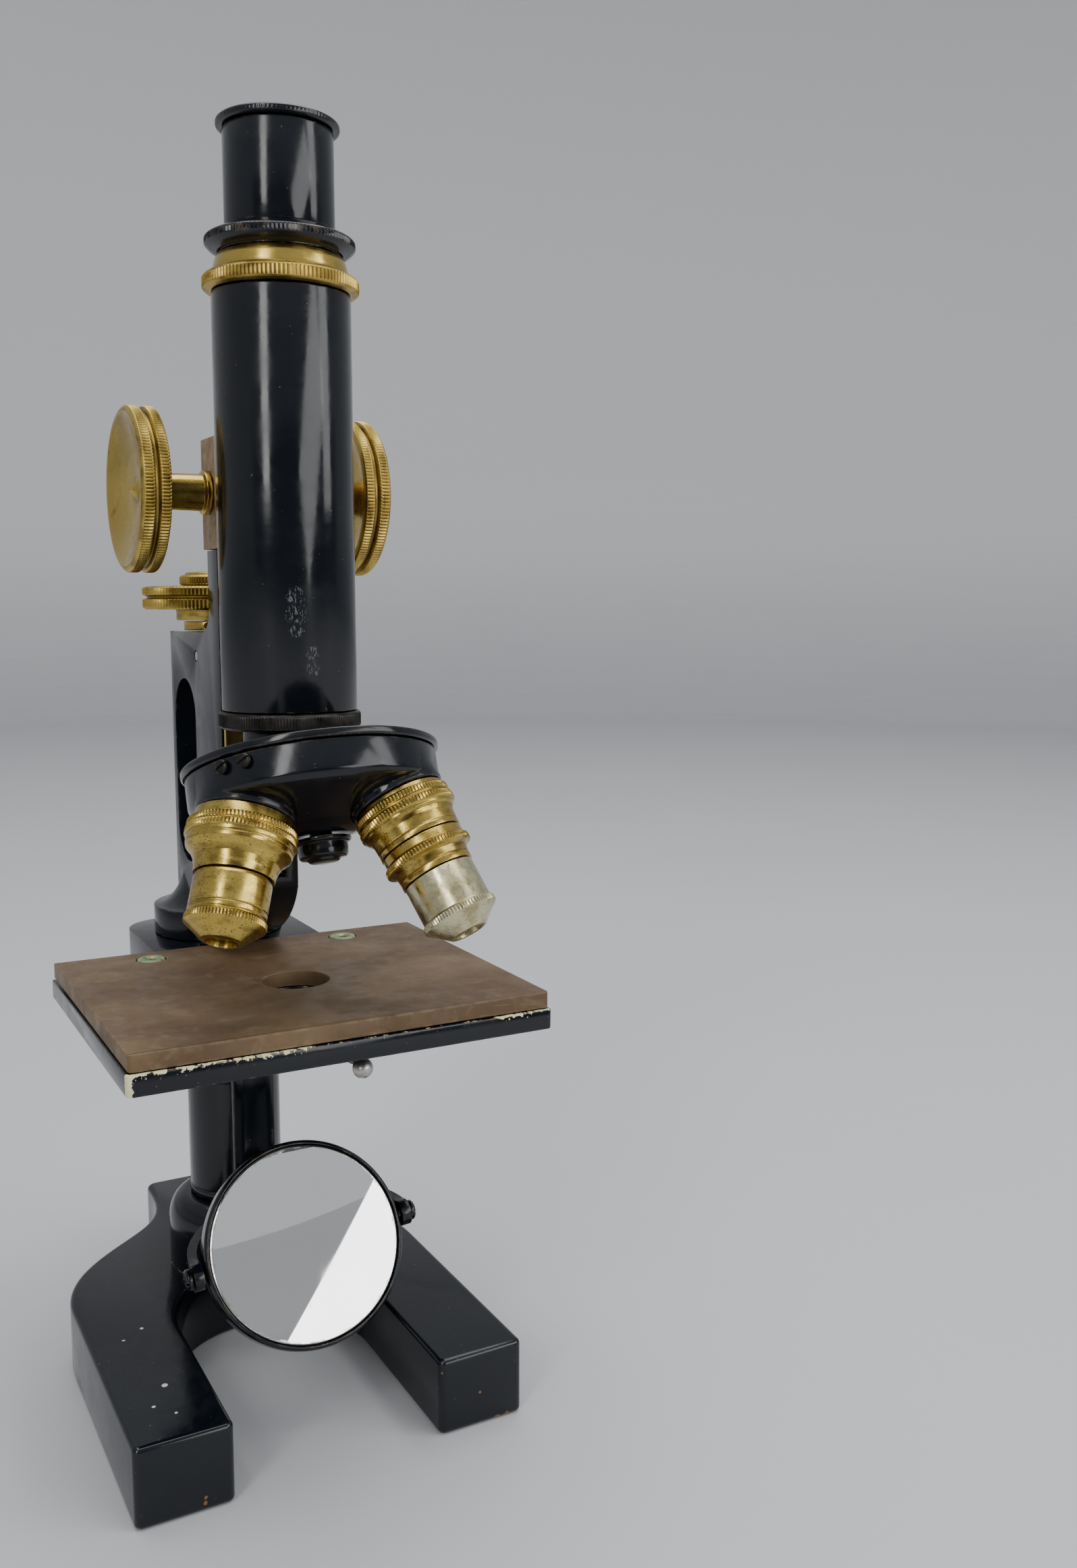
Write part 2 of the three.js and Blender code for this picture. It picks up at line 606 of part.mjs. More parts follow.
function nosepieceNut() {
  const outline = [[0, -67], [3.4, -67], [5.4, -66], [6, -64.4], [6, -62.6], [7, -62.2], [7, -61.5], [2.6, -61.5],
    [2.6, -44.4], [2, -44.4], [2, -41], [0, -41]];
  return piece('nosepiece_nut', turned(outline, MEDIUM_SIDES), lacquer);
}

function rimScrew(name, turn) {
  const screw = piece(name, disc(1.7, 30.1, 31.1, SMALL_SIDES), steel);
  screw.rotation.set(0, Math.PI / 2, 0);
  const holder = group(screw);
  holder.rotation.z = turn;
  return at(holder, 0, 0, -46.1);
}

function lowObjective() {
  const collar = piece(
    'low_objective_collar',
    turned([[7.8, -74.4], [9.1, -74.4], [9.6, -71.6], [10.8, -69.2], [11.9, -68.2], [12.1, -66], [12.7, -65.8], [12.7, -64.5],
      [12.2, -64.3], [12.6, -64.1], [12.6, -62.8], [11.4, -62.4], [11.4, -60.2], [7.8, -60.2]], LARGE_SIDES),
    brass,
  );
  const barrel = piece(
    'low_objective_barrel',
    turned([[3.6, -89.5], [8.4, -86], [9.2, -85.6], [9.2, -84.2], [8.8, -83.8], [8.8, -74.7], [5.5, -74.7], [5.5, -82.5],
      [3.4, -84.5]], LARGE_SIDES),
    brass,
  );
  const lens = piece('low_objective_lens', disc(3.1, -87.9, -85.1, SMALL_SIDES), glass);
  return group(collar, barrel, lens);
}

function highObjective() {
  const collar = piece(
    'high_objective_collar',
    turned([[7.6, -71.6], [10.1, -71.6], [10.3, -67.6], [11, -66], [12, -65.2], [12, -63.6], [11.3, -63.1], [11.8, -62.7],
      [11.8, -61.4], [11, -61], [11, -60.2], [7.6, -60.2]], LARGE_SIDES),
    brass,
  );
  const barrel = piece(
    'high_objective_barrel',
    turned([[6, -80], [8.8, -80], [9, -76.2], [10.7, -75.7], [10.7, -74.3], [9.9, -73.8], [9.9, -71.9], [6, -71.9]], LARGE_SIDES),
    brass,
  );
  const sleeve = piece(
    'high_objective_nose',
    turned([[3.1, -95.3], [4.4, -95.3], [7.4, -92.6], [9, -91.4], [9, -90.1], [8.5, -89.8], [8.5, -80.3], [5.6, -80.3],
      [5.6, -88], [3.1, -91]], LARGE_SIDES),
    nickel,
  );
  const lens = piece('high_objective_lens', disc(2.8, -94.2, -91.4, SMALL_SIDES), glass);
  return group(collar, barrel, sleeve, lens);
}

function socketGroup(content, socket) {
  const tilt = group(content);
  tilt.rotation.x = NOSE_TILT;
  const turn = group(tilt);
  turn.rotation.z = (socket * 2 * Math.PI) / 3;
  return turn;
}

function nosepiece() {
  const revolver = group(
    nosepieceShell(),
    rimScrew('rim_screw_front', THREE.MathUtils.degToRad(235.2)),
    rimScrew('rim_screw_back', THREE.MathUtils.degToRad(223.6)),
    socketGroup(lowObjective(), 1),
    socketGroup(highObjective(), 2),
  );
  revolver.rotation.z = NOSE_TURN;
  const whole = group(nosepieceMount(), nosepieceNut(), revolver);
  whole.rotation.x = -NOSE_TILT;
  return at(whole, 0, 0, NOSE_Z);
}

// ---- mirror ----
function tailBar() {
  const half = 6;
  const outline = new THREE.Shape();
  outline.absarc(0, BAR_PIVOT_Z, half, 0, Math.PI, false);
  outline.absarc(0, MIRROR_Z, half, Math.PI, 2 * Math.PI, false);
  const options = { depth: BAR_BACK - BAR_FRONT, bevelEnabled: false, curveSegments: 8 };
  const bar = new THREE.ExtrudeGeometry(outline, options).rotateX(Math.PI / 2).translate(0, BAR_BACK, 0);
  const holes = [BAR_PIVOT_Z, MIRROR_Z].map((z) => alongY(disc(2.6, BAR_FRONT - 1, BAR_BACK + 1, SMALL_SIDES)).translate(0, 0, z));
  return piece('tail_bar', cut(toSolid(bar), ...holes), lacquer);
}

function tailBarScrew() {
  const seat = BAR_FRONT - GAP;
  const tip = STUD_LUG_BACK - 0.9;
  const outline = [[0, seat - 3.1], [5, seat - 3.1], [5, seat], [2.3, seat], [2.3, tip], [0, tip]];
  return at(piece('tail_bar_screw', alongY(turned(outline, SMALL_SIDES)), steel), 0, 0, BAR_PIVOT_Z);
}

function mirrorFork() {
  const arc = new THREE.EllipseCurve(0, 0, FORK_RADIUS, FORK_RADIUS, 0, Math.PI);
  const path = new THREE.CatmullRomCurve3(arc.getPoints(24).map(({ x, y }) => new THREE.Vector3(x, y, 0)));
  const section = new THREE.Shape();
  section.moveTo(-3, -1.2);
  section.lineTo(3, -1.2);
  section.lineTo(3, 1.2);
  section.lineTo(-3, 1.2);
  const options = { steps: 28, extrudePath: path, bevelEnabled: false };
  const bow = new THREE.ExtrudeGeometry(section, options);
  const ends = [-1, 1].map((side) => alongX(disc(3.4, side * FORK_RADIUS - 1.2, side * FORK_RADIUS + 1.2, SMALL_SIDES)));
  const stem = alongY(disc(2.3, FORK_RADIUS - 0.5, BAR_BACK - MIRROR_Y - 0.4, SMALL_SIDES));
  const bores = alongX(disc(1.6, -40, 40, SMALL_SIDES));
  return piece('mirror_fork', cut(join(bow, ...ends, stem), bores), lacquer);
}

function mirrorRing() {
  const outline = [[24.9, -3], [25.2, -3], [MIRROR_RING, -2.2], [MIRROR_RING, 2.2], [25.2, 3], [24.9, 3], [24.9, 0.5],
    [21, 0.5], [21, -0.5], [24.9, -0.5]];
  const rim = alongY(turned(outline, LARGE_SIDES));
  const bores = alongX(disc(1.6, -40, 40, SMALL_SIDES));
  return piece('mirror_ring', cut(toSolid(rim), bores), lacquer);
}

function pivotScrew(name, side) {
  const outline = [[0, 25.5], [1.3, 25.5], [1.3, FORK_RADIUS + 1.5], [2.6, FORK_RADIUS + 1.5], [2.6, 31], [0, 31]];
  const screw = piece(name, turned(outline, SMALL_SIDES), steel);
  screw.rotation.y = (side * Math.PI) / 2;
  return screw;
}

function mirrorAssembly() {
  const flat = piece('mirror_flat', alongY(disc(MIRROR_GLASS, -2.7, -0.8, LARGE_SIDES)), mirror);
  const concave = piece('mirror_concave', alongY(disc(MIRROR_GLASS, 0.8, 2.7, LARGE_SIDES)), mirror);
  const tilting = group(mirrorRing(), flat, concave);
  tilting.rotation.x = MIRROR_TILT;
  const screws = [pivotScrew('mirror_pivot_left', -1), pivotScrew('mirror_pivot_right', 1)];
  const whole = group(mirrorFork(), ...screws, tilting);
  whole.rotation.y = FORK_ROLL;
  return at(whole, 0, MIRROR_Y, MIRROR_Z);
}

// ---- whole instrument ----
const microscope = group(
  base(),
  pillar(),
  hingeAxle(),
  hingeNut('hinge_nut_left', -1),
  hingeNut('hinge_nut_right', 1),
  stageBracket(),
  arm(),
  stagePlate(),
  stageTop(),
  clipSocket('clip_socket_left', -1),
  clipSocket('clip_socket_right', 1),
  stageScrew('stage_screw_left', -1),
  stageScrew('stage_screw_right', 1),
  irisHousing(),
  irisLeaves(),
  irisLever(),
  fineFocus(),
  fineLever(),
  returnSpring(),
  focusBlock(),
  pinion(),
  knob('coarse_knob_left', -1),
  knob('coarse_knob_right', 1),
  sleeve('pinion_sleeve_left', -1),
  sleeve('pinion_sleeve_right', 1),
  tubeSlide(),
  rack(),
  bodyTube(),
  drawTube(),
  eyepiece(),
  nosepiece(),
  tailBar(),
  tailBarScrew(),
  mirrorAssembly(),
);
microscope.position.y = -PILLAR_Y;

export default group(microscope);
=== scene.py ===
"""An antique compound microscope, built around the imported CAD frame.

Lengths are millimetres until MM is applied. Outlines of turned pieces are lists of [radius, height].
"""
import json
import math

import bmesh
import bpy
from mathutils import Matrix, Vector


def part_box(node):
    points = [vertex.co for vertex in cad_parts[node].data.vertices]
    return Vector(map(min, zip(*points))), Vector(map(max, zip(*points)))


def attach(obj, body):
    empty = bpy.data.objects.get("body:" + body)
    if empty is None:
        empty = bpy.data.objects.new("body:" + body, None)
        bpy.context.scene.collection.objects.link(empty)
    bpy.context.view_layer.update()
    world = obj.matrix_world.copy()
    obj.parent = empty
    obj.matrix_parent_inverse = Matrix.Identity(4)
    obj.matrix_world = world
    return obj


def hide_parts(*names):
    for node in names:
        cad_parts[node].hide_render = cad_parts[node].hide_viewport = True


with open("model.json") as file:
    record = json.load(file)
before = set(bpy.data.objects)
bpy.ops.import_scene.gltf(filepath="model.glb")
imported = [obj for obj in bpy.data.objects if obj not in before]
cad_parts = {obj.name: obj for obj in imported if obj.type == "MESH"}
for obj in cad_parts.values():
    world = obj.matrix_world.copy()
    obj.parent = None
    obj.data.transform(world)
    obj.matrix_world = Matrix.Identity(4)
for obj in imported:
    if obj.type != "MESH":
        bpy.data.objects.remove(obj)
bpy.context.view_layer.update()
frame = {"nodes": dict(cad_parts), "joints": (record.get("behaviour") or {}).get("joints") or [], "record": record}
NODES = frame["nodes"]
BODY_OF = {node: body for body, nodes in frame["record"]["behaviour"]["bodies"].items() for node in nodes}
JOINTS = {joint["name"]: joint for joint in frame["joints"]}
MM = 0.001
FINE_SIDES = 96
TUBE_SIDES = 128
LENS_Y = JOINTS["iris_turn"]["pos_m"][1] / MM  # the optical axis
LENS_FRAME = Matrix.Translation((0, LENS_Y * MM, 0))
HINGE_HEIGHT = JOINTS["inclination"]["pos_m"][2] / MM
BAR_PIVOT_HEIGHT = JOINTS["tail_bar_swing"]["pos_m"][2] / MM
MIRROR_HEIGHT = JOINTS["mirror_tilt"]["pos_m"][2] / MM
MIRROR_TILT = math.radians(-28)
NOSEPIECE_TURN = math.radians(-13.1)  # between two of its click positions


# ---- places taken from the frame ----
def joint_frame(name, direction=None):
    """A matrix at a joint's point, with its local Z along the joint's axis or along a given direction."""
    joint = JOINTS[name]
    axis = Vector(direction or joint["axis"]).normalized()
    return Matrix.Translation(Vector(joint["pos_m"])) @ axis.to_track_quat("Z", "Y").to_matrix().to_4x4()


def axis_frame(node):
    """A matrix on the vertical line through the middle of a node, at table height."""
    low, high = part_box(node)
    return Matrix.Translation(Vector(((low.x + high.x) / 2, (low.y + high.y) / 2, 0)))


# ---- shader graphs ----
class Shader:
    """A Principled material and the few node patterns that the finishes below share."""

    def __init__(self, name, **inputs):
        self.material = bpy.data.materials.new(name)
        self.material.use_nodes = True
        self.tree = self.material.node_tree
        self.surface = self.tree.nodes["Principled BSDF"]
        for key, value in inputs.items():
            self.surface.inputs[key.replace("_", " ")].default_value = value
        coordinates = self.tree.nodes.new("ShaderNodeTexCoord")
        scale = self.tree.nodes.new("ShaderNodeVectorMath")
        scale.operation = "SCALE"
        scale.inputs["Scale"].default_value = 1 / MM
        self.tree.links.new(coordinates.outputs["Object"], scale.inputs[0])
        self.place = scale.outputs[0]

    def put(self, socket, value):
        if isinstance(value, bpy.types.NodeSocket):
            self.tree.links.new(value, socket)
        elif value is not None:
            socket.default_value = value

    def math(self, operation, first, second=None, third=None):
        node = self.tree.nodes.new("ShaderNodeMath")
        node.operation = operation
        for socket, value in zip(node.inputs, (first, second, third)):
            self.put(socket, value)
        return node.outputs[0]

    def vector(self, operation, first, second=None):
        node = self.tree.nodes.new("ShaderNodeVectorMath")
        node.operation = operation
        self.put(node.inputs[0], first)
        self.put(node.inputs[1], second)
        return node.outputs["Value" if operation in ("LENGTH", "DISTANCE", "DOT_PRODUCT") else "Vector"]

    def stretched(self, x, y, z):
        return self.vector("MULTIPLY", self.place, (x, y, z))

    def rings(self, along=1.0):
        """Coordinates that are the same all round a turned piece's own axis."""
        split = self.tree.nodes.new("ShaderNodeSeparateXYZ")
        join = self.tree.nodes.new("ShaderNodeCombineXYZ")
        self.put(split.inputs[0], self.place)
        radius = self.vector("LENGTH", self.stretched(1, 1, 0))
        self.put(join.inputs[0], radius)
        self.put(join.inputs[1], self.math("MULTIPLY", split.outputs[2], along))
        return join.outputs[0]

    def noise(self, scale, detail=3.0, rough=0.55, where=None, distortion=0.0):
        node = self.tree.nodes.new("ShaderNodeTexNoise")
        self.put(node.inputs["Vector"], where or self.place)
        node.inputs["Scale"].default_value = scale
        node.inputs["Detail"].default_value = detail
        node.inputs["Roughness"].default_value = rough
        node.inputs["Distortion"].default_value = distortion
        return node.outputs["Fac"]

    def between(self, value, low, high, out_low=0.0, out_high=1.0):
        node = self.tree.nodes.new("ShaderNodeMapRange")
        node.interpolation_type = "SMOOTHSTEP"
        self.put(node.inputs[0], value)
        for socket, number in zip(node.inputs[1:5], (low, high, out_low, out_high)):
            socket.default_value = number
        return node.outputs[0]

    def blend(self, factor, first, second):
        node = self.tree.nodes.new("ShaderNodeMix")
        node.data_type = "RGBA"
        self.put(node.inputs[0], factor)
        for socket, value in zip(node.inputs[6:8], (first, second)):
            self.put(socket, (*value, 1.0) if isinstance(value, tuple) else value)
        return node.outputs[2]

    def edges(self, radius):
        """1 on sharp convex or concave edges, 0 on open faces."""
        bevel = self.tree.nodes.new("ShaderNodeBevel")
        bevel.samples = 4
        bevel.inputs["Radius"].default_value = radius * MM
        geometry = self.tree.nodes.new("ShaderNodeNewGeometry")
        facing = self.vector("DOT_PRODUCT", bevel.outputs[0], geometry.outputs["Normal"])
        return self.between(facing, 0.995, 0.9)

    def hollows(self):
        geometry = self.tree.nodes.new("ShaderNodeNewGeometry")
        return self.between(geometry.outputs["Pointiness"], 0.5, 0.44)

    def bump(self, height, distance, strength=1.0):
        node = self.tree.nodes.new("ShaderNodeBump")
        node.inputs["Strength"].default_value = strength
        node.inputs["Distance"].default_value = distance * MM
        self.put(node.inputs["Height"], height)
        self.put(self.surface.inputs["Normal"], node.outputs[0])

    def near(self, point, radius, ragged=0.5):
        """1 within a ragged-edged spot about a point."""
        away = self.vector("DISTANCE", self.place, tuple(point))
        wobble = self.math("MULTIPLY", self.noise(1.6, 3.0, 0.6), radius * ragged * 2)
        outside, inside = radius * (1.15 + ragged), radius * (0.85 + ragged)
        return self.between(self.math("ADD", away, wobble), outside, inside)

    def most(self, values):
        total = values[0]
        for value in values[1:]:
            total = self.math("MAXIMUM", total, value)
        return total

    def set(self, color=None, roughness=None, metallic=None):
        self.put(self.surface.inputs["Base Color"], color)
        self.put(self.surface.inputs["Roughness"], roughness)
        self.put(self.surface.inputs["Metallic"], metallic)


# ---- finishes ----
BLACK = (0.0016, 0.0028, 0.005)
BLUE_BLACK = (0.004, 0.0062, 0.0096)
DUSTY_FILM = (0.03, 0.032, 0.034)
BARE_METAL = (0.16, 0.11, 0.06)
GREY_SCUFF = (0.22, 0.23, 0.23)
CREAM_PRIMER = (0.72, 0.68, 0.4)
WHITE_PAINT = (0.7, 0.72, 0.68)
RUST = (0.2, 0.09, 0.03)
YELLOW_BRASS = (0.62, 0.46, 0.12)
DEEP_BRASS = (0.4, 0.27, 0.055)
BROWNED_BRASS = (0.13, 0.08, 0.022)
BRASS_DIRT = (0.045, 0.03, 0.016)
METAL_DIRT = (0.035, 0.03, 0.026)
DARK_RUBBER = (0.095, 0.056, 0.025)
BROWN_RUBBER = (0.16, 0.104, 0.052)
RUBBED_RUBBER = (0.25, 0.185, 0.11)
RUBBER_GRAIN = (0.045, 0.026, 0.014)
RUBBER_EDGE = (0.33, 0.25, 0.15)
RUBBER_SCRATCH = (0.26, 0.19, 0.13)
DULL_BRASS = (0.4, 0.3, 0.13)
VERDIGRIS_GREEN = (0.2, 0.36, 0.22)
SILVER = (0.9, 0.91, 0.9)
HAZY_SILVER = (0.75, 0.76, 0.72)
FOXED_SILVER = (0.12, 0.1, 0.07)


def black_lacquer(name, flecks=(), rust=(), scuffs=(), primer=None, wear=1.0):
    """Glossy black lacquer, slightly blue, with worn edges, dust and small chips."""
    s = Shader(name, Specular_IOR_Level=0.42)
    color = s.blend(s.noise(0.05, 4.0), BLACK, BLUE_BLACK)
    film = s.between(s.noise(0.22, 5.0, 0.65), 0.5, 0.78)
    color = s.blend(s.math("MULTIPLY", film, 0.12), color, DUSTY_FILM)
    edge = s.edges(0.7)
    worn = s.math("MULTIPLY", edge, s.between(s.noise(0.33, 5.0, 0.7), 0.52 - 0.05 * wear, 0.62))
    pits = s.between(s.noise(0.9, 2.0, 0.5), 0.745, 0.765)
    bare = s.math("MAXIMUM", s.math("MULTIPLY", worn, 0.8 * wear), s.math("MULTIPLY", pits, 0.6))
    color = s.blend(bare, color, BARE_METAL)
    roughness = s.between(s.noise(0.12, 4.0, 0.6), 0.3, 0.75, 0.1, 0.22)
    roughness = s.math("MAXIMUM", roughness, s.math("MULTIPLY", bare, 0.5))
    if flecks:
        spot = s.most([s.near(point, radius) for point, radius in flecks])
        color = s.blend(spot, color, WHITE_PAINT)
        roughness = s.math("MAXIMUM", roughness, s.math("MULTIPLY", spot, 0.6))
    if rust:
        spot = s.most([s.near(point, radius, 0.8) for point, radius in rust])
        color = s.blend(spot, color, RUST)
        roughness = s.math("MAXIMUM", roughness, s.math("MULTIPLY", spot, 0.8))
    if scuffs:
        streak = s.between(s.noise(1.5, 4.0, 0.75, s.stretched(1.6, 1.0, 0.55)), 0.53, 0.6)
        patch = s.most([s.near(point, radius, 0.7) for point, radius in scuffs])
        rubbed = s.math("MULTIPLY", patch, streak)
        color = s.blend(s.math("MULTIPLY", rubbed, 0.55), color, GREY_SCUFF)
        roughness = s.math("MAXIMUM", roughness, s.math("MULTIPLY", rubbed, 0.55))
    if primer:
        color, roughness = primer(s, color, roughness)
    s.set(color, roughness)
    s.bump(s.math("ADD", s.noise(0.35, 2.0), s.math("MULTIPLY", bare, -0.6)), 0.06, 0.35)
    return s.material


def stage_chips(s, color, roughness):
    """Cream primer showing along the stage plate's top front edge and down its front left corner."""
    low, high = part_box("stage_plate")
    plate_left, plate_front, plate_top = low.x / MM, low.y / MM, high.z / MM
    split = s.tree.nodes.new("ShaderNodeSeparateXYZ")
    s.put(split.inputs[0], s.place)
    x, y, z = split.outputs
    front = s.between(y, plate_front + 1.2, plate_front + 0.6)
    left = s.between(x, -6, -12)
    right = s.between(x, 34, 38, 0.0, 0.75)
    ragged = s.noise(0.5, 5.0, 0.7)
    strip = s.math("MULTIPLY", front, s.math("MAXIMUM", s.math("MAXIMUM", left, right), 0.25))
    reach = s.math("MULTIPLY", strip, s.between(ragged, 0.4, 0.68, 0.2, 1.5))
    edge = s.between(s.math("SUBTRACT", z, s.math("SUBTRACT", plate_top + 0.25, reach)), -0.08, 0.08)
    away = s.vector("DISTANCE", s.stretched(1, 1, 0), (plate_left, plate_front, 0))
    corner = s.between(s.math("ADD", away, s.math("MULTIPLY", ragged, 2.6)), 2.75, 2.55)
    upper = s.between(z, plate_top - 2.5, plate_top - 0.8)
    specks = s.math("MULTIPLY", s.between(s.noise(1.1, 3.0, 0.6), 0.7, 0.72), upper)
    chip = s.most([edge, corner, s.math("MULTIPLY", specks, strip)])
    return s.blend(chip, color, CREAM_PRIMER), s.math("MAXIMUM", roughness, s.math("MULTIPLY", chip, 0.55))


def old_brass(name, patina=0.5, polish=0.3, spotted=0.5, turned_marks=True):
    """Lacquered brass gone brown in the hollows, with dark spots and fine turning marks."""
    s = Shader(name, Metallic=1.0)
    color = s.blend(s.noise(0.09, 4.0), YELLOW_BRASS, DEEP_BRASS)
    clouds = s.noise(0.3, 5.0, 0.65, s.stretched(0.5, 0.5, 1.6))
    brown = s.between(clouds, 0.66 - 0.3 * patina, 0.86 - 0.16 * patina)
    color = s.blend(s.math("MULTIPLY", brown, 0.8), color, BROWNED_BRASS)
    pits = s.noise(2.4, 3.0, 0.6, s.stretched(0.8, 0.8, 1.5))
    pits = s.between(pits, 0.74 - 0.14 * spotted, 0.78 - 0.13 * spotted)
    spots = s.math("MULTIPLY", pits, s.between(s.noise(0.25, 3.0), 0.35, 0.6, 0.2, 0.9))
    dirt = s.math("MAXIMUM", s.math("MULTIPLY", s.hollows(), 0.8), spots)
    color = s.blend(dirt, color, BRASS_DIRT)
    roughness = s.between(s.noise(0.3, 5.0, 0.6), 0.3, 0.75, polish - 0.06, polish + 0.08)
    s.set(color, s.math("MAXIMUM", roughness, s.math("MULTIPLY", dirt, 0.6)))
    marks = s.noise(5.0, 2.0, 0.6, s.rings(1.6) if turned_marks else s.stretched(1, 1, 0.1))
    s.bump(marks, 0.005, 0.3)
    return s.material


def plain_metal(name, bright, tarnished, roughness=0.3, spotted=0.4, marks=True):
    """Steel, nickel or bronze: bright metal clouded by tarnish and a few dark specks."""
    s = Shader(name, Metallic=1.0)
    color = s.blend(s.between(s.noise(0.2, 5.0, 0.65), 0.38, 0.7), bright, tarnished)
    specks = s.between(s.noise(2.0, 3.0, 0.65), 0.76 - 0.12 * spotted, 0.8 - 0.12 * spotted)
    dirt = s.math("MAXIMUM", s.math("MULTIPLY", specks, 0.8), s.math("MULTIPLY", s.hollows(), 0.6))
    polish = s.between(s.noise(0.35, 5.0), 0.3, 0.7, roughness - 0.08, roughness + 0.16)
    s.set(s.blend(dirt, color, METAL_DIRT), polish)
    s.bump(s.noise(4.0, 2.0, 0.6, s.rings(1.4) if marks else None), 0.005, 0.3)
    return s.material


def aged_vulcanite():
    """Hard rubber gone from black to brown, with paler rubbed patches, a fine grain and slide scratches."""
    s = Shader("vulcanite", Specular_IOR_Level=0.35)
    browned = s.between(s.noise(0.035, 5.0, 0.6), 0.35, 0.68)
    color = s.blend(browned, DARK_RUBBER, BROWN_RUBBER)
    rubbed = s.between(s.noise(0.11, 6.0, 0.7, None, 0.6), 0.52, 0.72)
    color = s.blend(s.math("MULTIPLY", rubbed, 0.4), color, RUBBED_RUBBER)
    grain = s.between(s.noise(2.2, 3.0, 0.7), 0.58, 0.75)
    color = s.blend(s.math("MULTIPLY", grain, 0.35), color, RUBBER_GRAIN)
    edge = s.math("MULTIPLY", s.edges(1.0), s.between(s.noise(0.25, 4.0, 0.7), 0.4, 0.65))
    color = s.blend(s.math("MULTIPLY", edge, 0.6), color, RUBBER_EDGE)
    scratches = s.between(s.noise(0.9, 2.0, 0.4, s.stretched(0.12, 2.4, 1.0), 0.4), 0.69, 0.73)
    color = s.blend(s.math("MULTIPLY", scratches, 0.3), color, RUBBER_SCRATCH)
    s.set(color, s.between(s.noise(0.2, 5.0), 0.3, 0.7, 0.42, 0.62))
    s.bump(s.math("ADD", s.noise(2.6, 4.0, 0.7), s.math("MULTIPLY", scratches, -0.7)), 0.04, 0.5)
    return s.material


def verdigris_brass():
    s = Shader("verdigris_brass")
    green = s.between(s.noise(0.9, 5.0, 0.7), 0.4, 0.58)
    color = s.blend(green, DULL_BRASS, VERDIGRIS_GREEN)
    s.set(color, s.between(green, 0, 1, 0.4, 0.8), s.between(green, 0, 1, 0.9, 0.1))
    s.bump(s.noise(1.6, 4.0, 0.7), 0.1, 0.6)
    return s.material


def clear_glass(name, tint):
    s = Shader(name, Base_Color=(*tint, 1.0), IOR=1.52, Transmission_Weight=1.0)
    s.set(None, s.between(s.noise(0.3, 4.0), 0.4, 0.8, 0.02, 0.12))
    return s.material


def silvered_glass():
    """A mirror with a foxed rim and a few specks in the silver."""
    s = Shader("silvered_glass", Metallic=1.0)
    radius = s.vector("LENGTH", s.stretched(1, 1, 0))
    rim = s.between(s.math("ADD", radius, s.math("MULTIPLY", s.noise(0.35, 5.0, 0.7), 3.4)), 25.4, 26.4)
    specks = s.between(s.noise(0.55, 4.0, 0.75), 0.735, 0.75)
    haze = s.between(s.noise(0.08, 5.0, 0.6), 0.45, 0.8)
    color = s.blend(s.math("MULTIPLY", haze, 0.25), SILVER, HAZY_SILVER)
    color = s.blend(s.math("MAXIMUM", s.math("MULTIPLY", rim, 0.6), specks), color, FOXED_SILVER)
    s.set(color, s.math("MAXIMUM", s.between(haze, 0, 1, 0.015, 0.05), s.math("MULTIPLY", rim, 0.3)))
    return s.material


# Marks are (place, radius). The base's and the tube's places are in those pieces' own axes.
FLECKS = [((-36.0, 26.0, 20.3), 0.5), ((-41.6, 22.1, 20.3), 0.35), ((-37.3, -4.1, 20.3), 0.75),
          ((-41.9, -12.1, 20.3), 0.45), ((-37.8, -17.2, 20.3), 0.4)]
RUST_SPOTS = [((38.0, -27.7, 9.0), 0.35), ((-34.0, -27.7, 3.5), 0.4), ((-34.2, -27.7, 2.2), 0.45),
              ((-50.0, -27.5, 19.5), 0.4), ((43.0, -27.7, 0.3), 0.9), ((46.0, -27.7, 0.4), 0.9),
              ((27.2, -27.5, 17.0), 0.4)]
TUBE_SCUFFS = [((-3.5, -16.2, 214.0), 2.0), ((-3.4, -16.2, 209.5), 2.4), ((-3.5, -16.2, 206.0), 1.6),
               ((0.3, -16.5, 200.5), 1.9), ((0.3, -16.5, 197.0), 1.6)]
LACQUER = black_lacquer("black_lacquer")
BASE_LACQUER = black_lacquer("base_lacquer", flecks=FLECKS, rust=RUST_SPOTS, wear=1.1)
STAGE_LACQUER = black_lacquer("stage_lacquer", primer=stage_chips)
TUBE_LACQUER = black_lacquer("tube_lacquer", scuffs=TUBE_SCUFFS)
BRASS = old_brass("brass_polished", 0.25, 0.24, 0.25)
KNURLED_BRASS = old_brass("brass_knurled", 0.75, 0.38, 0.35)
OBJECTIVE_BRASS = old_brass("brass_spotted", 0.75, 0.24, 1.1)
SLIDE_BRASS = old_brass("brass_slide", 0.4, 0.32, 0.3, turned_marks=False)
WORN_RIM = black_lacquer("worn_rim", wear=1.6)
BRONZE = plain_metal("bare_bronze", (0.5, 0.37, 0.24), (0.33, 0.24, 0.15), 0.5, 0.2, marks=False)
DARK_STEEL = plain_metal("dark_steel", (0.05, 0.047, 0.043), (0.02, 0.018, 0.017), 0.36, 0.5)
STEEL = plain_metal("steel", (0.58, 0.57, 0.54), (0.3, 0.28, 0.25), 0.3, 0.4)
NICKEL = plain_metal("old_nickel", (0.62, 0.58, 0.37), (0.36, 0.31, 0.16), 0.24, 1.1)
VULCANITE = aged_vulcanite()
VERDIGRIS = verdigris_brass()
LENS_GLASS = clear_glass("lens_glass", (0.93, 0.97, 0.96))
MIRROR_GLASS = silvered_glass()


# ---- meshes ----
def object_of(name, bm, matrix=None):
    bmesh.ops.recalc_face_normals(bm, faces=bm.faces)
    mesh = bpy.data.meshes.new(name)
    bm.to_mesh(mesh)
    bm.free()
    thing = bpy.data.objects.new(name, mesh)
    bpy.context.scene.collection.objects.link(thing)
    thing.matrix_world = matrix or Matrix.Identity(4)
    return thing


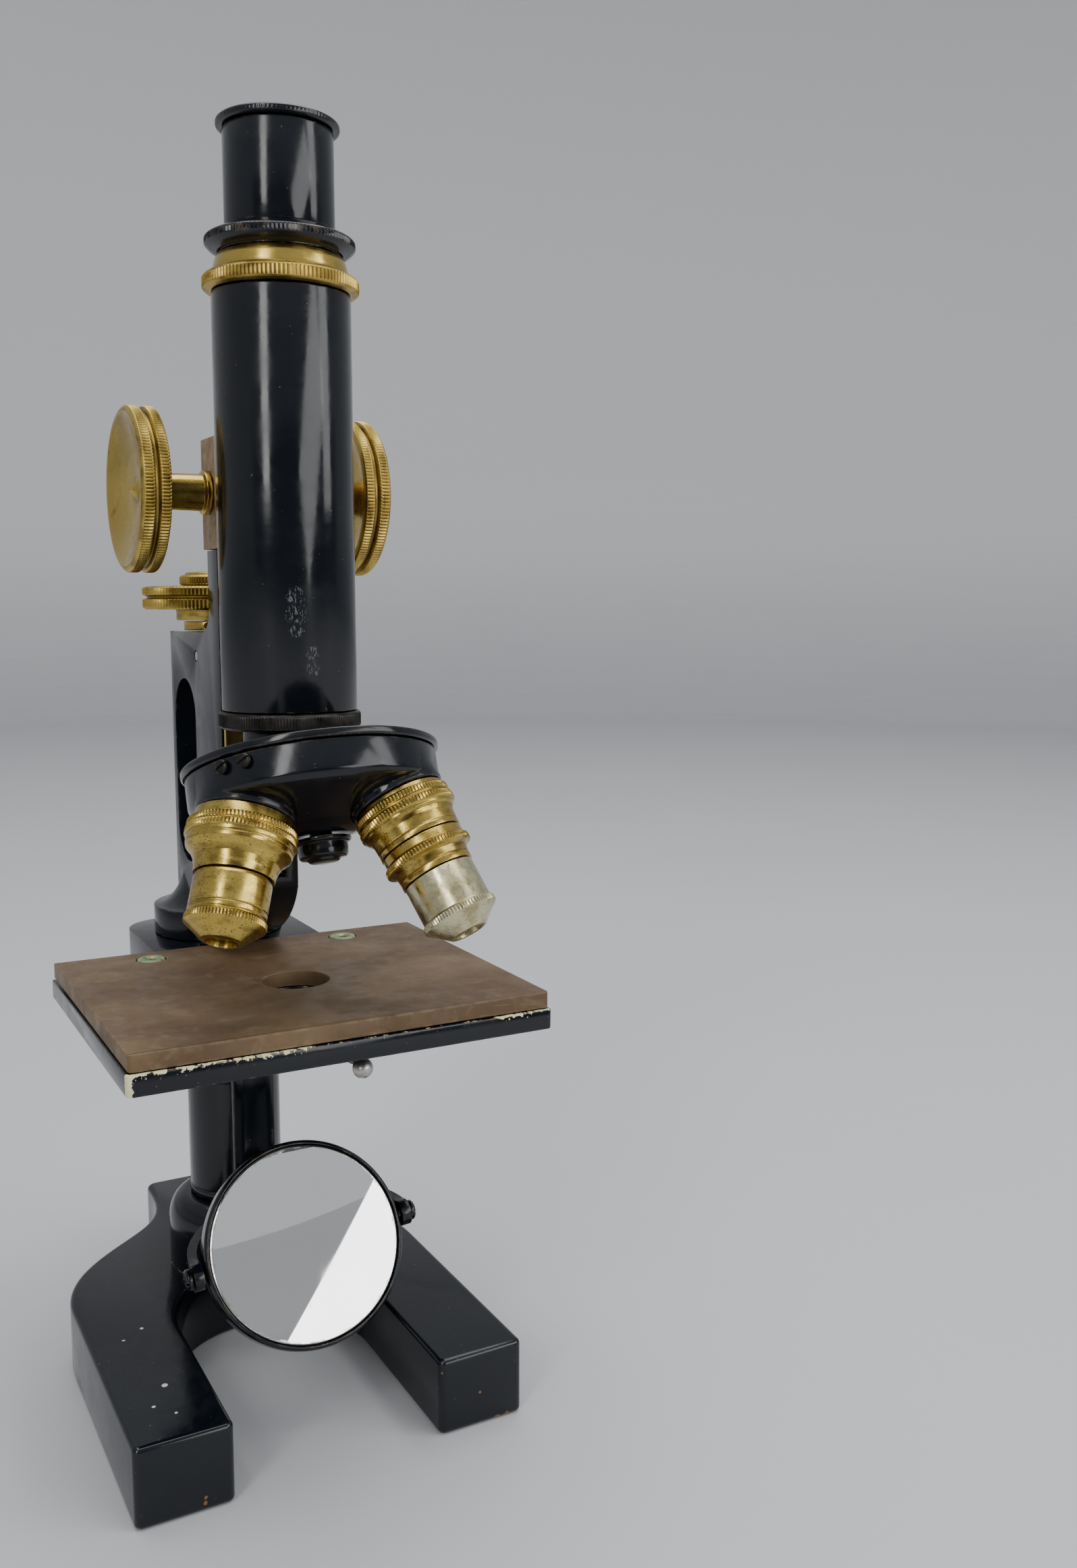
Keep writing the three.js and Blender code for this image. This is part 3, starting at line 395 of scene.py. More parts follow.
def filleted(outline, radius, closed):
    """The outline with each corner cut by a small curve, so that it catches a highlight."""
    points = [Vector(p) for p in outline]
    count = len(points)
    result = []
    for i, point in enumerate(points):
        if not closed and i in (0, count - 1):
            result.append(point)
            continue
        before, after = points[i - 1], points[(i + 1) % count]
        reach = min(radius, (point - before).length * 0.4, (after - point).length * 0.4)
        start = point + (before - point).normalized() * reach
        end = point + (after - point).normalized() * reach
        middle = (start + end) * 0.25 + point * 0.5
        result += [start, middle, end]
    return result


def turned(name, outline, matrix, knurls=(), teeth=0, depth=0.28, fillet=0.25, sides=FINE_SIDES):
    """A piece turned about its local Z from [radius, height], anticlockwise.

    Knurls are [low, high, least radius]: teeth are cut into the outline's points within them.
    """
    closed = min(outline[0][0], outline[-1][0]) > 1e-6
    rows = filleted(outline, fillet, closed)
    sides = teeth * 4 if teeth else sides
    bm = bmesh.new()
    grid = []
    for radius, height in rows:
        cut = any(low <= height <= high and radius >= least for low, high, least in knurls)
        if radius < 1e-6:
            grid.append([bm.verts.new((0, 0, height * MM))] * sides)
            continue
        row = []
        for k in range(sides):
            angle = 2 * math.pi * k / sides
            shrink = depth * (0.5 - 0.5 * math.cos(angle * teeth)) if cut else 0.0
            r = (radius - shrink) * MM
            row.append(bm.verts.new((r * math.cos(angle), r * math.sin(angle), height * MM)))
        grid.append(row)
    pairs = list(zip(grid, grid[1:])) + ([(grid[-1], grid[0])] if closed else [])
    for lower, upper in pairs:
        for k in range(sides):
            corners = [lower[k], lower[(k + 1) % sides], upper[(k + 1) % sides], upper[k]]
            unique = list(dict.fromkeys(corners))
            if len(unique) > 2:
                bm.faces.new(unique)
    return object_of(name, bm, matrix)


# from an outline's two coordinates and a place along the piece's thickness, by the axis of that thickness
PLANES = {
    "X": lambda u, v, w: (w, u, v),
    "Y": lambda u, v, w: (u, w, v),
    "Z": lambda u, v, w: (u, v, w),
}


def plate(name, loops, low, high, axis="Z", matrix=None):
    """A flat piece: an outline and its holes, each a list of points, between low and high along one axis."""
    bm = bmesh.new()
    to_space = PLANES[axis]
    walls = []
    for loop in loops:
        bottom = [bm.verts.new(Vector(to_space(u, v, low)) * MM) for u, v in loop]
        top = [bm.verts.new(Vector(to_space(u, v, high)) * MM) for u, v in loop]
        walls.append((bottom, top))
    for side in (0, 1):
        rims = []
        for wall in walls:
            verts = wall[side]
            rims += [bm.edges.new((verts[i - 1], verts[i])) for i in range(len(verts))]
        bmesh.ops.triangle_fill(bm, use_beauty=True, use_dissolve=True, edges=rims)
    for bottom, top in walls:
        for i in range(len(bottom)):
            bm.faces.new((bottom[i - 1], bottom[i], top[i], top[i - 1]))
    return object_of(name, bm, matrix)


def soft_plate(name, loop, low, high, radius, matrix):
    """A flat upright piece with an anticlockwise outline, whose top and bottom edges are rounded."""
    points = [Vector(p) for p in loop]
    inward = []
    for i, point in enumerate(points):
        before = (point - points[i - 1]).normalized()
        after = (points[(i + 1) % len(points)] - point).normalized()
        normals = [Vector((-side.y, side.x)) for side in (before, after)]
        inward.append((normals[0] + normals[1]) / (1 + normals[0].dot(normals[1])))
    quarter = [math.pi / 10 * k for k in range(6)]
    rows = [(radius * (1 - math.sin(a)), low + radius * (1 - math.cos(a))) for a in quarter]
    rows += [(inset, low + high - height) for inset, height in reversed(rows)]
    bm = bmesh.new()
    grid = []
    for inset, height in rows:
        row = [point + normal * inset for point, normal in zip(points, inward)]
        grid.append([bm.verts.new(Vector((*corner, height)) * MM) for corner in row])
    for lower, upper in zip(grid, grid[1:]):
        for i in range(len(points)):
            bm.faces.new((lower[i - 1], lower[i], upper[i], upper[i - 1]))
    for rim in (grid[0], grid[-1]):
        edges = [bm.edges.get((rim[i - 1], rim[i])) for i in range(len(rim))]
        bmesh.ops.triangle_fill(bm, use_beauty=True, use_dissolve=True, edges=edges)
    return object_of(name, bm, matrix)


def arc(cx, cy, radius, start, end, steps=24):
    angles = [math.radians(start + (end - start) * i / steps) for i in range(steps + 1)]
    return [(cx + radius * math.cos(a), cy + radius * math.sin(a)) for a in angles]


def curve(p0, p1, p2, p3, steps=20):
    """Points of a cubic from p0 to p3, without the first."""
    result = []
    for i in range(1, steps + 1):
        t = i / steps
        weights = ((1 - t) ** 3, 3 * t * (1 - t) ** 2, 3 * t * t * (1 - t), t ** 3)
        result.append(tuple(sum(w * p[k] for w, p in zip(weights, (p0, p1, p2, p3))) for k in (0, 1)))
    return result


def spread(total, steps, first=0):
    """Angles at even steps from 0 to a total, the total included."""
    return [total * k / steps for k in range(first, steps + 1)]


def circle(cx, cy, radius, steps=48):
    return arc(cx, cy, radius, 0, 360 - 360 / steps, steps - 1)


def box(name, x, y, z, matrix=None):
    loop = [(x[0], y[0]), (x[1], y[0]), (x[1], y[1]), (x[0], y[1])]
    return plate(name, [loop], z[0], z[1], matrix=matrix)


def slotted(screw, half_length, half_width, low, high, matrix):
    """The screw with a driver slot cut across its head."""
    slot = box("slot", (-half_length, half_length), (-half_width, half_width), (low, high))
    slot.matrix_world = matrix
    return combined(screw, ("DIFFERENCE", slot))


def along(direction, point=(0, 0, 0)):
    """A matrix at a point in millimetres, with local Z along a direction."""
    turn = Vector(direction).to_track_quat("Z", "Y").to_matrix().to_4x4()
    return Matrix.Translation(Vector(point) * MM) @ turn


def rod(radius, low, high, matrix, sides=48):
    outline = [[0, low], [radius, low], [radius, high], [0, high]]
    return turned("rod", outline, matrix, fillet=0.0001, sides=sides)


def baked(thing):
    """The object with its modifiers applied."""
    graph = bpy.context.evaluated_depsgraph_get()
    mesh = bpy.data.meshes.new_from_object(thing.evaluated_get(graph))
    thing.modifiers.clear()
    thing.data = mesh
    return thing


def combined(thing, *steps):
    """Adds or cuts solids in turn: steps are ("UNION" or "DIFFERENCE", object)."""
    for operation, tool in steps:
        modifier = thing.modifiers.new("combine", "BOOLEAN")
        modifier.operation = operation
        modifier.solver = "EXACT"
        modifier.object = tool
        bpy.context.view_layer.update()
        baked(thing)
        bpy.data.objects.remove(tool)
    return thing


def rounded(thing, width, segments=3, angle=35):
    modifier = thing.modifiers.new("round", "BEVEL")
    modifier.width = width * MM
    modifier.segments = segments
    modifier.limit_method = "ANGLE"
    modifier.angle_limit = math.radians(angle)
    modifier.harden_normals = False
    bpy.context.view_layer.update()
    return baked(thing)


def shown(thing, material, node, smooth=38):
    """Finishes a piece: it takes its name and body from the CAD node that it stands for, and that node is hidden.
    """
    thing.name = node + "_piece"
    thing.data.materials.clear()
    for one in material if isinstance(material, list) else [material]:
        thing.data.materials.append(one)
    thing.data.shade_smooth()
    thing.data.set_sharp_from_angle(angle=math.radians(smooth))
    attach(thing, BODY_OF[node])
    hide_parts(node)
    return thing


def kept(node, material, bevel=0.0):
    """A CAD node that stays, with a better finish and, on a square-edged one, softened edges."""
    thing = NODES[node]
    for place in range(len(thing.material_slots)):
        thing.material_slots[place].material = material
    if bevel:
        thing.modifiers.new("weld", "WELD").merge_threshold = 0.00001
        modifier = thing.modifiers.new("round", "BEVEL")
        modifier.width = bevel * MM
        modifier.segments = 2
        modifier.limit_method = "ANGLE"
        modifier.angle_limit = math.radians(50)


def paint_faces(thing, index, test):
    for face in thing.data.polygons:
        if test(face.center / MM):
            face.material_index = index


# ---- stand ----
def mirrored(points):
    return [(-x, y) for x, y in reversed(points)]


def build_base():
    low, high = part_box("horseshoe_base")
    outer, front, tail = high.x / MM, low.y / MM - LENS_Y, high.y / MM - LENS_Y
    inner, leg_height, tail_half, crotch = 26.7, 20.3, 13.0, 23.0
    toe, tail_corner = 1.8, 3
    right = arc(inner + toe, front + toe, toe, 180, 270, 6)
    right += arc(outer - toe, front + toe, toe, 270, 360, 6) + [(outer, 45)]
    right += curve((outer, 45), (outer, 68), (30, 78), (21, 88))
    right += curve((21, 88), (15, 95), (tail_half, 102), (tail_half, tail - tail_corner))
    right += arc(tail_half - tail_corner, tail - tail_corner, tail_corner, 0, 90, 6)[1:]
    outline = right + mirrored(right) + arc(0, crotch, inner, 180, 0, 40)
    foot = soft_plate("foot", outline, 0, leg_height, 1.4, LENS_FRAME)
    pillar = axis_frame("pillar")
    sunk, wall, tenon, tenon_bottom = leg_height - 0.2, 34, 10, 24.6
    plinth = [[0, sunk], [19.5, sunk], [19.5, wall]]
    plinth += [[14.2 + 5.3 * math.cos(a), wall + 7 * math.sin(a)] for a in spread(math.pi / 2, 12, 1)]
    plinth += [[tenon, wall + 7], [tenon, tenon_bottom], [0, tenon_bottom]]
    plinth = turned("plinth", plinth, pillar)
    behind_plinth = LENS_FRAME @ Matrix.Translation((0, 68 * MM, 0))
    saddle = [[0, sunk], [17.5, sunk], [16.5, 23], [14, 27], [12, 33], [0, 33]]
    saddle = turned("saddle", saddle, behind_plinth, fillet=2)
    base = combined(foot, ("UNION", plinth), ("UNION", saddle))
    base = combined(base, ("DIFFERENCE", rod(tenon, tenon_bottom, 45, pillar, FINE_SIDES)))
    shown(base, BASE_LACQUER, "horseshoe_base", smooth=50)


def build_pillar():
    column = [[0, 24.9], [9.7, 24.9], [9.7, 41.3], [13.2, 41.3], [13.2, 43.2], [12.9, 43.5], [12.9, 43.8],
              [13.2, 44.1], [13.2, 76.4], [12.6, 78.2], [11.2, 79], [0, 79]]
    column = turned("column", column, axis_frame("pillar"), fillet=0.5)
    lug = arc(0, HINGE_HEIGHT, 11, 0, 180, 40) + [(-11, 74), (11, 74)]
    lug = plate("lug", [lug], -7, 7, "X")
    pillar = combined(column, ("UNION", lug))
    shown(rounded(pillar, 0.6), LACQUER, "pillar")
    kept("hinge_axle", STEEL)
    for side, node in ((-1, "hinge_nut_left"), (1, "hinge_nut_right")):
        place = joint_frame("inclination", (side, 0, 0))
        nut = [[0, 15.6], [8, 15.6], [8, 18.2], [7.4, 18.9], [6.4, 19.7], [4.6, 19.8], [4.2, 19.2],
               [0, 19.2]]
        nut = slotted(turned("nut", nut, place, fillet=0.3), 9, 0.6, 18.6, 21, place)
        shown(rounded(nut, 0.15, 2), LACQUER, node)


# ---- limb ----
def build_bracket():
    front, back, half, corner = 46.4, 90.0, 24.0, 12.0
    plan = [(-half, front), (half, front)] + arc(half - corner, back - corner, corner, 0, 90)
    plan += arc(corner - half, back - corner, corner, 90, 180)
    top = plate("top", [plan], 107.9, 116.8, matrix=LENS_FRAME)
    bar_back, shelf_heights = 42.3, (103.6, 108.1)
    parts = [box("shelf", (-20, 20), (bar_back, 68), shelf_heights, LENS_FRAME),
             box("lug", (-8, 8), (bar_back, front), (95, 104.5), LENS_FRAME),
             box("ear", (-20, -8), (34, 44), shelf_heights, LENS_FRAME),
             box("ear", (8, 20), (34, 44), shelf_heights, LENS_FRAME)]
    cheek = [(-9.5, 109)] + arc(0, HINGE_HEIGHT, 9.5, 180, 360, 32) + [(9.5, 109)]
    parts += [plate("cheek", [cheek], low, low + 7.6, "X") for low in (-15.0, 7.4)]
    steps = [("UNION", part) for part in parts]
    stud_line = LENS_FRAME @ along((0, 1, 0), (0, 0, BAR_PIVOT_HEIGHT))
    steps.append(("DIFFERENCE", rod(2.6, 41, 45.8, stud_line)))
    steps.append(("DIFFERENCE", rod(4.3, -16, 16, along((1, 0, 0), (0, 0, HINGE_HEIGHT)))))
    shown(rounded(combined(top, *steps), 0.9, 3), LACQUER, "stage_bracket")


def build_arm():
    low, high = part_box("arm")
    front, back, top, step, bottom = 25.7, 75.6, high.z / MM, 204.6, low.z / MM
    outline = [(front, top), (front, 136)] + curve((front, 136), (30, 126), (42, 120), (54, bottom + 0.4))
    outline += [(back, bottom + 0.4), (back, step), (43.3, step)]
    outline += curve((43.3, step), (37, step), (34.4, 207), (34.4, 212))
    outline += [(34.4, top)]
    slot = arc(61.5, 180.7, 10.8, 0, 180, 28) + arc(61.5, 149.8, 10.8, 180, 360, 28)
    body = plate("arm", [outline, slot], -10, 10, "X", LENS_FRAME)
    foot_radius, rim_top, rise = 18.4, 125.2, 12
    flare = [[0, bottom], [foot_radius, bottom], [foot_radius, rim_top]]
    flare += [[foot_radius - 8.6 * math.sin(a), rim_top + rise * (1 - math.cos(a))]
              for a in spread(math.pi / 2, 12, 1)]
    foot = turned("foot", flare + [[0, rim_top + rise]], LENS_FRAME @ Matrix.Translation((0, 69 * MM, 0)))
    steps = [("UNION", foot),
             ("DIFFERENCE", plate("slot", [slot], -30, 30, "X", LENS_FRAME)),
             ("DIFFERENCE", box("channel", (-6.8, 6.8), (front - 1, 31.4), (139, top + 1), LENS_FRAME)),
             ("DIFFERENCE", box("lever_space", (-2.9, 2.9), (31, 71), (194, 202), LENS_FRAME)),
             ("DIFFERENCE", rod(2.9, 201, 206, axis_frame("fine_neck"))),
             ("DIFFERENCE", rod(1.6, -11, 11, joint_frame("fine_lever_rock")))]
    shown(rounded(combined(body, *steps), 0.8, 3), LACQUER, "arm")
    kept("fine_lever_pin", STEEL)
    kept("fine_lever", STEEL, 0.2)
    kept("fine_spindle", STEEL)
    kept("fine_return_spring", STEEL)


def build_stage():
    low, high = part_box("stage_plate")
    x, y0, y1 = high.x / MM, low.y / MM, high.y / MM
    clip_x, clip_y = 27.2, LENS_Y + 38.4

    def rectangle(inset):
        r = 1.2
        side, front = x - inset, y0 + inset
        loop = arc(side - r, front + r, r, 270, 360, 6) + [(side, y1), (-side, y1)]
        return loop + arc(r - side, front + r, r, 180, 270, 6)

    holes = [circle(side * clip_x, clip_y, 1.9, 24) for side in (-1, 1)]
    loops = [rectangle(0), circle(0, LENS_Y, 9.1, 64)] + holes
    metal = plate("metal", loops, low.z / MM, high.z / MM)
    shown(rounded(metal, 0.45, 2), STAGE_LACQUER, "stage_plate")
    top_low, top_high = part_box("stage_top")
    holes = [circle(side * clip_x, clip_y, 4.0, 40) for side in (-1, 1)]
    loops = [rectangle(0.6), circle(0, LENS_Y, 8.5, 72)] + holes
    top = plate("top", loops, top_low.z / MM, top_high.z / MM)
    shown(rounded(top, 0.75, 4), VULCANITE, "stage_top")
    for side, name in ((-1, "left"), (1, "right")):
        socket = [[1.5, 113.6], [3.7, 113.6], [3.7, 117.5], [3.3, 117.75], [2.2, 117.7], [1.5, 117.3]]
        socket = turned("socket", socket, axis_frame("clip_socket_" + name), fillet=0.12, sides=48)
        shown(socket, VERDIGRIS, "clip_socket_" + name)
        place = axis_frame("stage_screw_" + name)
        screw = [[0, 101.4], [2.4, 101.4], [3.2, 102.1], [3.2, 103.3], [0, 103.3]]
        screw = turned("screw", screw, place, sides=40)
        screw = slotted(screw, 4, 0.35, 100, 102.1, place @ Matrix.Rotation(0.6 * side, 4, "Z"))
        shown(screw, STEEL, "stage_screw_" + name)


def build_iris():
    place = axis_frame("iris_housing")
    housing = [[9.6, 103.6], [17, 103.6], [17.5, 104.2], [17.5, 107.9], [9.6, 107.9]]
    shown(turned("housing", housing, place), LACQUER, "iris_housing")
    kept("iris_leaves", STEEL)
    hub = turned("hub", [[10, 100.6], [16.4, 100.6], [16.8, 101], [16.8, 103.3], [10, 103.3]], place)
    turn = place @ Matrix.Rotation(math.radians(12), 4, "Z")
    bar = box("bar", (-0.8, 0.8), (-29, -15), (102.2, 103), turn)
    ball = [[2.5 * math.sin(a), 102 - 2.5 * math.cos(a)] for a in spread(math.pi, 16)]
    ball[-1][0] = 0
    bead = turned("bead", ball, turn @ Matrix.Translation((0, -30 * MM, 0)), fillet=0.05, sides=40)
    lever = combined(hub, ("UNION", bar), ("UNION", bead))
    lever = shown(rounded(lever, 0.15, 2), [STEEL, LACQUER], "iris_lever")
    paint_faces(lever, 1, lambda c: math.hypot(c.x, c.y) < 27.6)


# ---- fine focus ----
def build_fine_focus():
    place = axis_frame("fine_neck")
    neck = turned("neck", [[2.9, 204.9], [8.2, 204.9], [8.2, 207.4], [2.9, 207.4]], place, fillet=0.2)
    middle = place @ Matrix.Translation((0, 0, 206.2 * MM))
    for degrees, radius in ((-118, 0.95), (-60, 0.4), (0, 0.95), (120, 0.95)):
        a = math.radians(degrees)
        hole = rod(radius, 5.5, 12, middle @ along((math.cos(a), math.sin(a), 0)), 24)
        combined(neck, ("DIFFERENCE", hole))
    shown(neck, BRASS, "fine_neck")
    head = [[2.9, 207.7], [10.2, 207.7], [10.2, 210.7], [18.4, 210.7], [19.4, 211.3], [19.4, 213.5],
            [18.1, 213.95], [18.1, 214.35], [19.4, 214.8], [19.4, 216.7], [18.3, 217.2], [12, 216.9],
            [9.5, 217.2], [2.9, 217.2]]
    head = turned("head", head, place, [[210.9, 213.7, 19.1], [214.6, 217.0, 19.1]], 112, 0.34, 0.22)
    shown(head, KNURLED_BRASS, "fine_head")
    cap = [[0, 217.5], [8.6, 217.5], [9.1, 218], [9.1, 219.9], [8.4, 220.4], [7.6, 220.5], [7.4, 221.1],
           [6.8, 221.3], [2, 221.1], [0, 220.9]]
    cap = turned("cap", cap, place, [[217.9, 220.1, 8.9]], 64, 0.26, 0.18)
    shown(cap, KNURLED_BRASS, "fine_lock_cap")


# ---- coarse focus ----
KNOB = [[0, 27], [2.4, 27], [2.4, 24.5], [5, 24.5], [5.4, 25.1], [16, 25.4], [18.6, 24.7], [20.2, 24.9],
        [20.6, 25.3], [20.6, 27.2], [20.1, 27.6], [19.2, 27.75], [19.2, 28.65], [20.1, 28.8], [20.6, 29.2],
        [20.6, 31.2], [20.2, 31.7], [19.4, 32.2], [18.6, 32.1], [16.2, 31.1], [13, 30.0], [9.5, 29.1],
        [6.2, 28.6], [3.4, 28.6], [2.0, 29.1], [1.0, 29.9], [0.5, 30.6], [0, 30.8]]


def build_coarse_focus():
    for side, name in ((-1, "left"), (1, "right")):
        place = joint_frame("coarse_focus", (side, 0, 0))
        knob = turned("knob", KNOB, place, [[25.2, 27.35, 20.5], [29.1, 31.4, 20.5]], 150, 0.32, 0.3)
        knob = shown(knob, [BRASS, KNURLED_BRASS], "coarse_knob_" + name)
        paint_faces(knob, 1, lambda c: math.hypot(c.x, c.y) > 19.0)
        sleeve = [[2.4, 10.9], [5.6, 10.9], [5.6, 12.2], [4.7, 12.6], [4.6, 21.6], [4.9, 22], [4.9, 24.2],
                  [2.4, 24.2]]
        shown(turned("sleeve", sleeve, place, fillet=0.15, sides=64), BRASS, "pinion_sleeve_" + name)
    kept("coarse_pinion", STEEL)
    kept("focus_block", BRONZE, 0.35)
    kept("tube_slide", SLIDE_BRASS, 0.25)
    kept("rack", STEEL)


# ---- body tube ----
def build_tube():
    place = axis_frame("main_tube")
    low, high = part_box("main_tube")
    bottom, top = low.z / MM, high.z / MM
    tube = turned("tube", [[15.3, bottom], [16.5, bottom], [16.5, top], [15.3, top]], place, sides=160)
    shown(tube, TUBE_LACQUER, "main_tube")
    lower = [[12, 181.8], [16.4, 181.8], [17.2, 182.3], [17.4, 182.6], [17.4, 185.3], [17.1, 185.8],
             [16.6, 186.1], [12, 186.1]]
    lower = turned("lower", lower, place, [[182.5, 185.5, 17.3]], 150, 0.17, 0.15)
    shown(lower, DARK_STEEL, "tube_lower_ring")
    collar = [[14.4, 278], [15, 278], [15, 285.1], [16.6, 285.1], [17.9, 285.5], [18.5, 286], [18.5, 288.2],
              [18.0, 288.8], [16.9, 289.3], [16.1, 289.5], [15.9, 290.6], [15.5, 292.2], [14.9, 293.6],
              [14.4, 293.7]]
    collar = turned("collar", collar, place, [[285.9, 288.4, 18.4]], 116, 0.34, 0.2)
    collar = shown(collar, [BRASS, KNURLED_BRASS], "tube_collar")
    paint_faces(collar, 1, lambda c: math.hypot(c.x, c.y) > 17.0)
    draw = [[12.7, 222], [14, 222], [14, 296.2], [12.7, 296.2]]
    shown(turned("draw", draw, place, sides=TUBE_SIDES), NICKEL, "draw_tube")
    flange = [[14.3, 294], [15.2, 294], [16.6, 294.9], [17.5, 295.7], [17.75, 296], [17.75, 297.2],
              [17.4, 297.7], [16.4, 298.2], [15, 298.9], [13.9, 299.4], [12.7, 299.4], [12.7, 296.5],
              [14.3, 296.5]]
    flange = turned("flange", flange, place, [[295.9, 297.3, 17.7]], 116, 0.24, 0.15)
    shown(flange, LACQUER, "draw_tube_flange")
    body = [[11, 258], [12.4, 258], [12.4, 299.7], [13, 299.7], [13, 322], [11, 322]]
    shown(turned("body", body, place, sides=TUBE_SIDES), LACQUER, "eyepiece_body")
    cap = [[4, 320.6], [10.7, 320.6], [10.7, 322.3], [13.7, 322.3], [14.4, 322.7], [14.5, 323.2],
           [14.4, 323.8], [14.0, 324.15], [13.0, 324.2], [12.4, 323.9], [9, 322.7], [5.5, 322.2],
           [4.2, 322.0]]
    shown(turned("cap", cap, place, [[322.9, 323.6, 14.45]], 96, 0.12, 0.15), LACQUER, "eyepiece_cap")
    radius, rim, rise = 10.6, 1.2, 1.8
    for node, z in (("eye_lens", 316.6), ("field_lens", 262.0)):
        dome = [[radius * math.cos(a), z + rim + rise * math.sin(a)] for a in spread(math.pi / 2, 10)]
        dome[-1][0] = 0
        shown(turned("lens", [[0, z], [radius, z]] + dome, place, fillet=0.02), LENS_GLASS, node)


# ---- nosepiece: heights are along its own axis or an objective's, below the point where they meet ----
def build_nosepiece():
    joint = JOINTS["nosepiece_turn"]
    up = -Vector(joint["axis"])
    tilt = math.acos(up.z)
    base = Matrix.Translation(Vector(joint["pos_m"])) @ Matrix.Rotation(-tilt, 4, "X")

    def optical(turn):
        return base @ Matrix.Rotation(turn, 4, "Z") @ Matrix.Rotation(tilt, 4, "X")

    disc = [[0, -43.8], [30.2, -43.8], [30.6, -43.4], [30.6, -42.1], [30.2, -41.8], [0, -41.8]]
    mount = turned("mount", disc, base, fillet=0.2, sides=TUBE_SIDES)
    neck = turned("neck", [[0, -47], [11.6, -47], [11.6, -32.9], [0, -32.9]], optical(0))
    below = rod(50, -75, -43.8, base)
    bore = rod(9, -70, -20, optical(0), 64)
    combined(mount, ("UNION", neck), ("DIFFERENCE", below), ("DIFFERENCE", bore))
    shown(mount, WORN_RIM, "nosepiece_mount")

    shell = [[29.8, -44.1], [27.6, -44.1], [27.6, -50.2], [13, -55.8], [8, -56.6], [8, -44.1], [2.9, -44.1],
             [2.9, -60.8], [7.6, -60.8], [10, -60.2], [13, -58.6], [20, -55.9], [26, -53.6], [28.6, -52.4],
             [29.5, -51.7], [29.8, -50.9]]
    turning = base @ Matrix.Rotation(NOSEPIECE_TURN, 4, "Z")
    revolver = turned("shell", shell, turning, fillet=0.3, sides=TUBE_SIDES)
    sockets = [optical(NOSEPIECE_TURN + k * 2 * math.pi / 3) for k in range(3)]
    boss = [[0, -59.9], [11.1, -59.9], [11.5, -59.5], [11.5, -52], [0, -52]]
    steps = [("UNION", turned("boss", boss, place, fillet=0.1)) for place in sockets]
    steps += [("DIFFERENCE", rod(9.3, -66, -36, place, 64)) for place in sockets]
    shown(rounded(combined(revolver, *steps), 0.35, 2, 30), LACQUER, "nosepiece_shell")
    nut = [[0, -67], [3.2, -67], [3.6, -66.8], [4.2, -66.1], [5.4, -66], [5.8, -65.6], [6, -64.4],
           [6, -62.8], [6.7, -62.5], [7, -62.2], [7, -61.5], [2.6, -61.5], [2.6, -44.4], [2, -44.4],
           [2, -41], [0, -41]]
    shown(turned("nut", nut, base, fillet=0.15, sides=64), LACQUER, "nosepiece_nut")
    hub = base @ Vector((0, 0, -46.1 * MM))
    for node in ("rim_screw_front", "rim_screw_back"):
        low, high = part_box(node)
        centre = (low + high) / 2
        out = (centre - hub).normalized()
        place = Matrix.Translation(centre) @ out.to_track_quat("Z", "Y").to_matrix().to_4x4()
        screw = [[0, -0.5], [1.7, -0.5], [1.7, 0.2], [1.3, 0.5], [0, 0.55]]
        screw = turned("screw", screw, place, fillet=0.1, sides=40)
        screw = slotted(screw, 3, 0.25, 0.1, 2, place @ Matrix.Rotation(0.7, 4, "Z"))
        shown(screw, DARK_STEEL, node)
    build_low_objective(sockets[1])
    build_high_objective(sockets[2])
    build_front_lens("low_objective_lens", sockets[1], 3.1, -87.9, -85.1)
    build_front_lens("high_objective_lens", sockets[2], 2.8, -94.2, -91.4)


def build_front_lens(node, place, radius, bottom, top):
    lens = [[0, bottom], [radius, bottom + 0.4], [radius, top], [0, top]]
    shown(turned("lens", lens, place, fillet=0.1, sides=48), LENS_GLASS, node)


def build_low_objective(place):
    collar = [[7.8, -74.4], [9.1, -74.4], [9.3, -72.6], [9.8, -71], [10.6, -69.6], [11.5, -68.8],
              [11.9, -68.4], [12.1, -67.6], [12.0, -67.2], [12.2, -66.9], [12.2, -66.1], [12.7, -65.8],
              [12.7, -64.6], [12.2, -64.4], [12.2, -64.2], [12.6, -64], [12.6, -62.9], [12.2, -62.6],
              [11.4, -62.4], [11.4, -60.2], [7.8, -60.2]]
    knurls = [[-65.85, -64.55, 12.6], [-64.05, -62.85, 12.5]]
    collar = turned("collar", collar, place, knurls, 92, 0.3, 0.1)
    shown(collar, OBJECTIVE_BRASS, "low_objective_collar")
    barrel = [[3.6, -89.5], [4.8, -89.2], [7.4, -87], [8.6, -86.1], [9.2, -85.6], [9.2, -84.4], [8.9, -84],
              [8.55, -83.8], [8.55, -83.5], [8.8, -83.3], [8.8, -82.2], [8.6, -82], [8.8, -81.8],
              [8.8, -75.6], [8.6, -74.7], [5.5, -74.7], [5.5, -82.5], [3.4, -84.5]]
    barrel = turned("barrel", barrel, place, [[-85.65, -84.35, 9.15]], 76, 0.24, 0.08)
    shown(barrel, OBJECTIVE_BRASS, "low_objective_barrel")


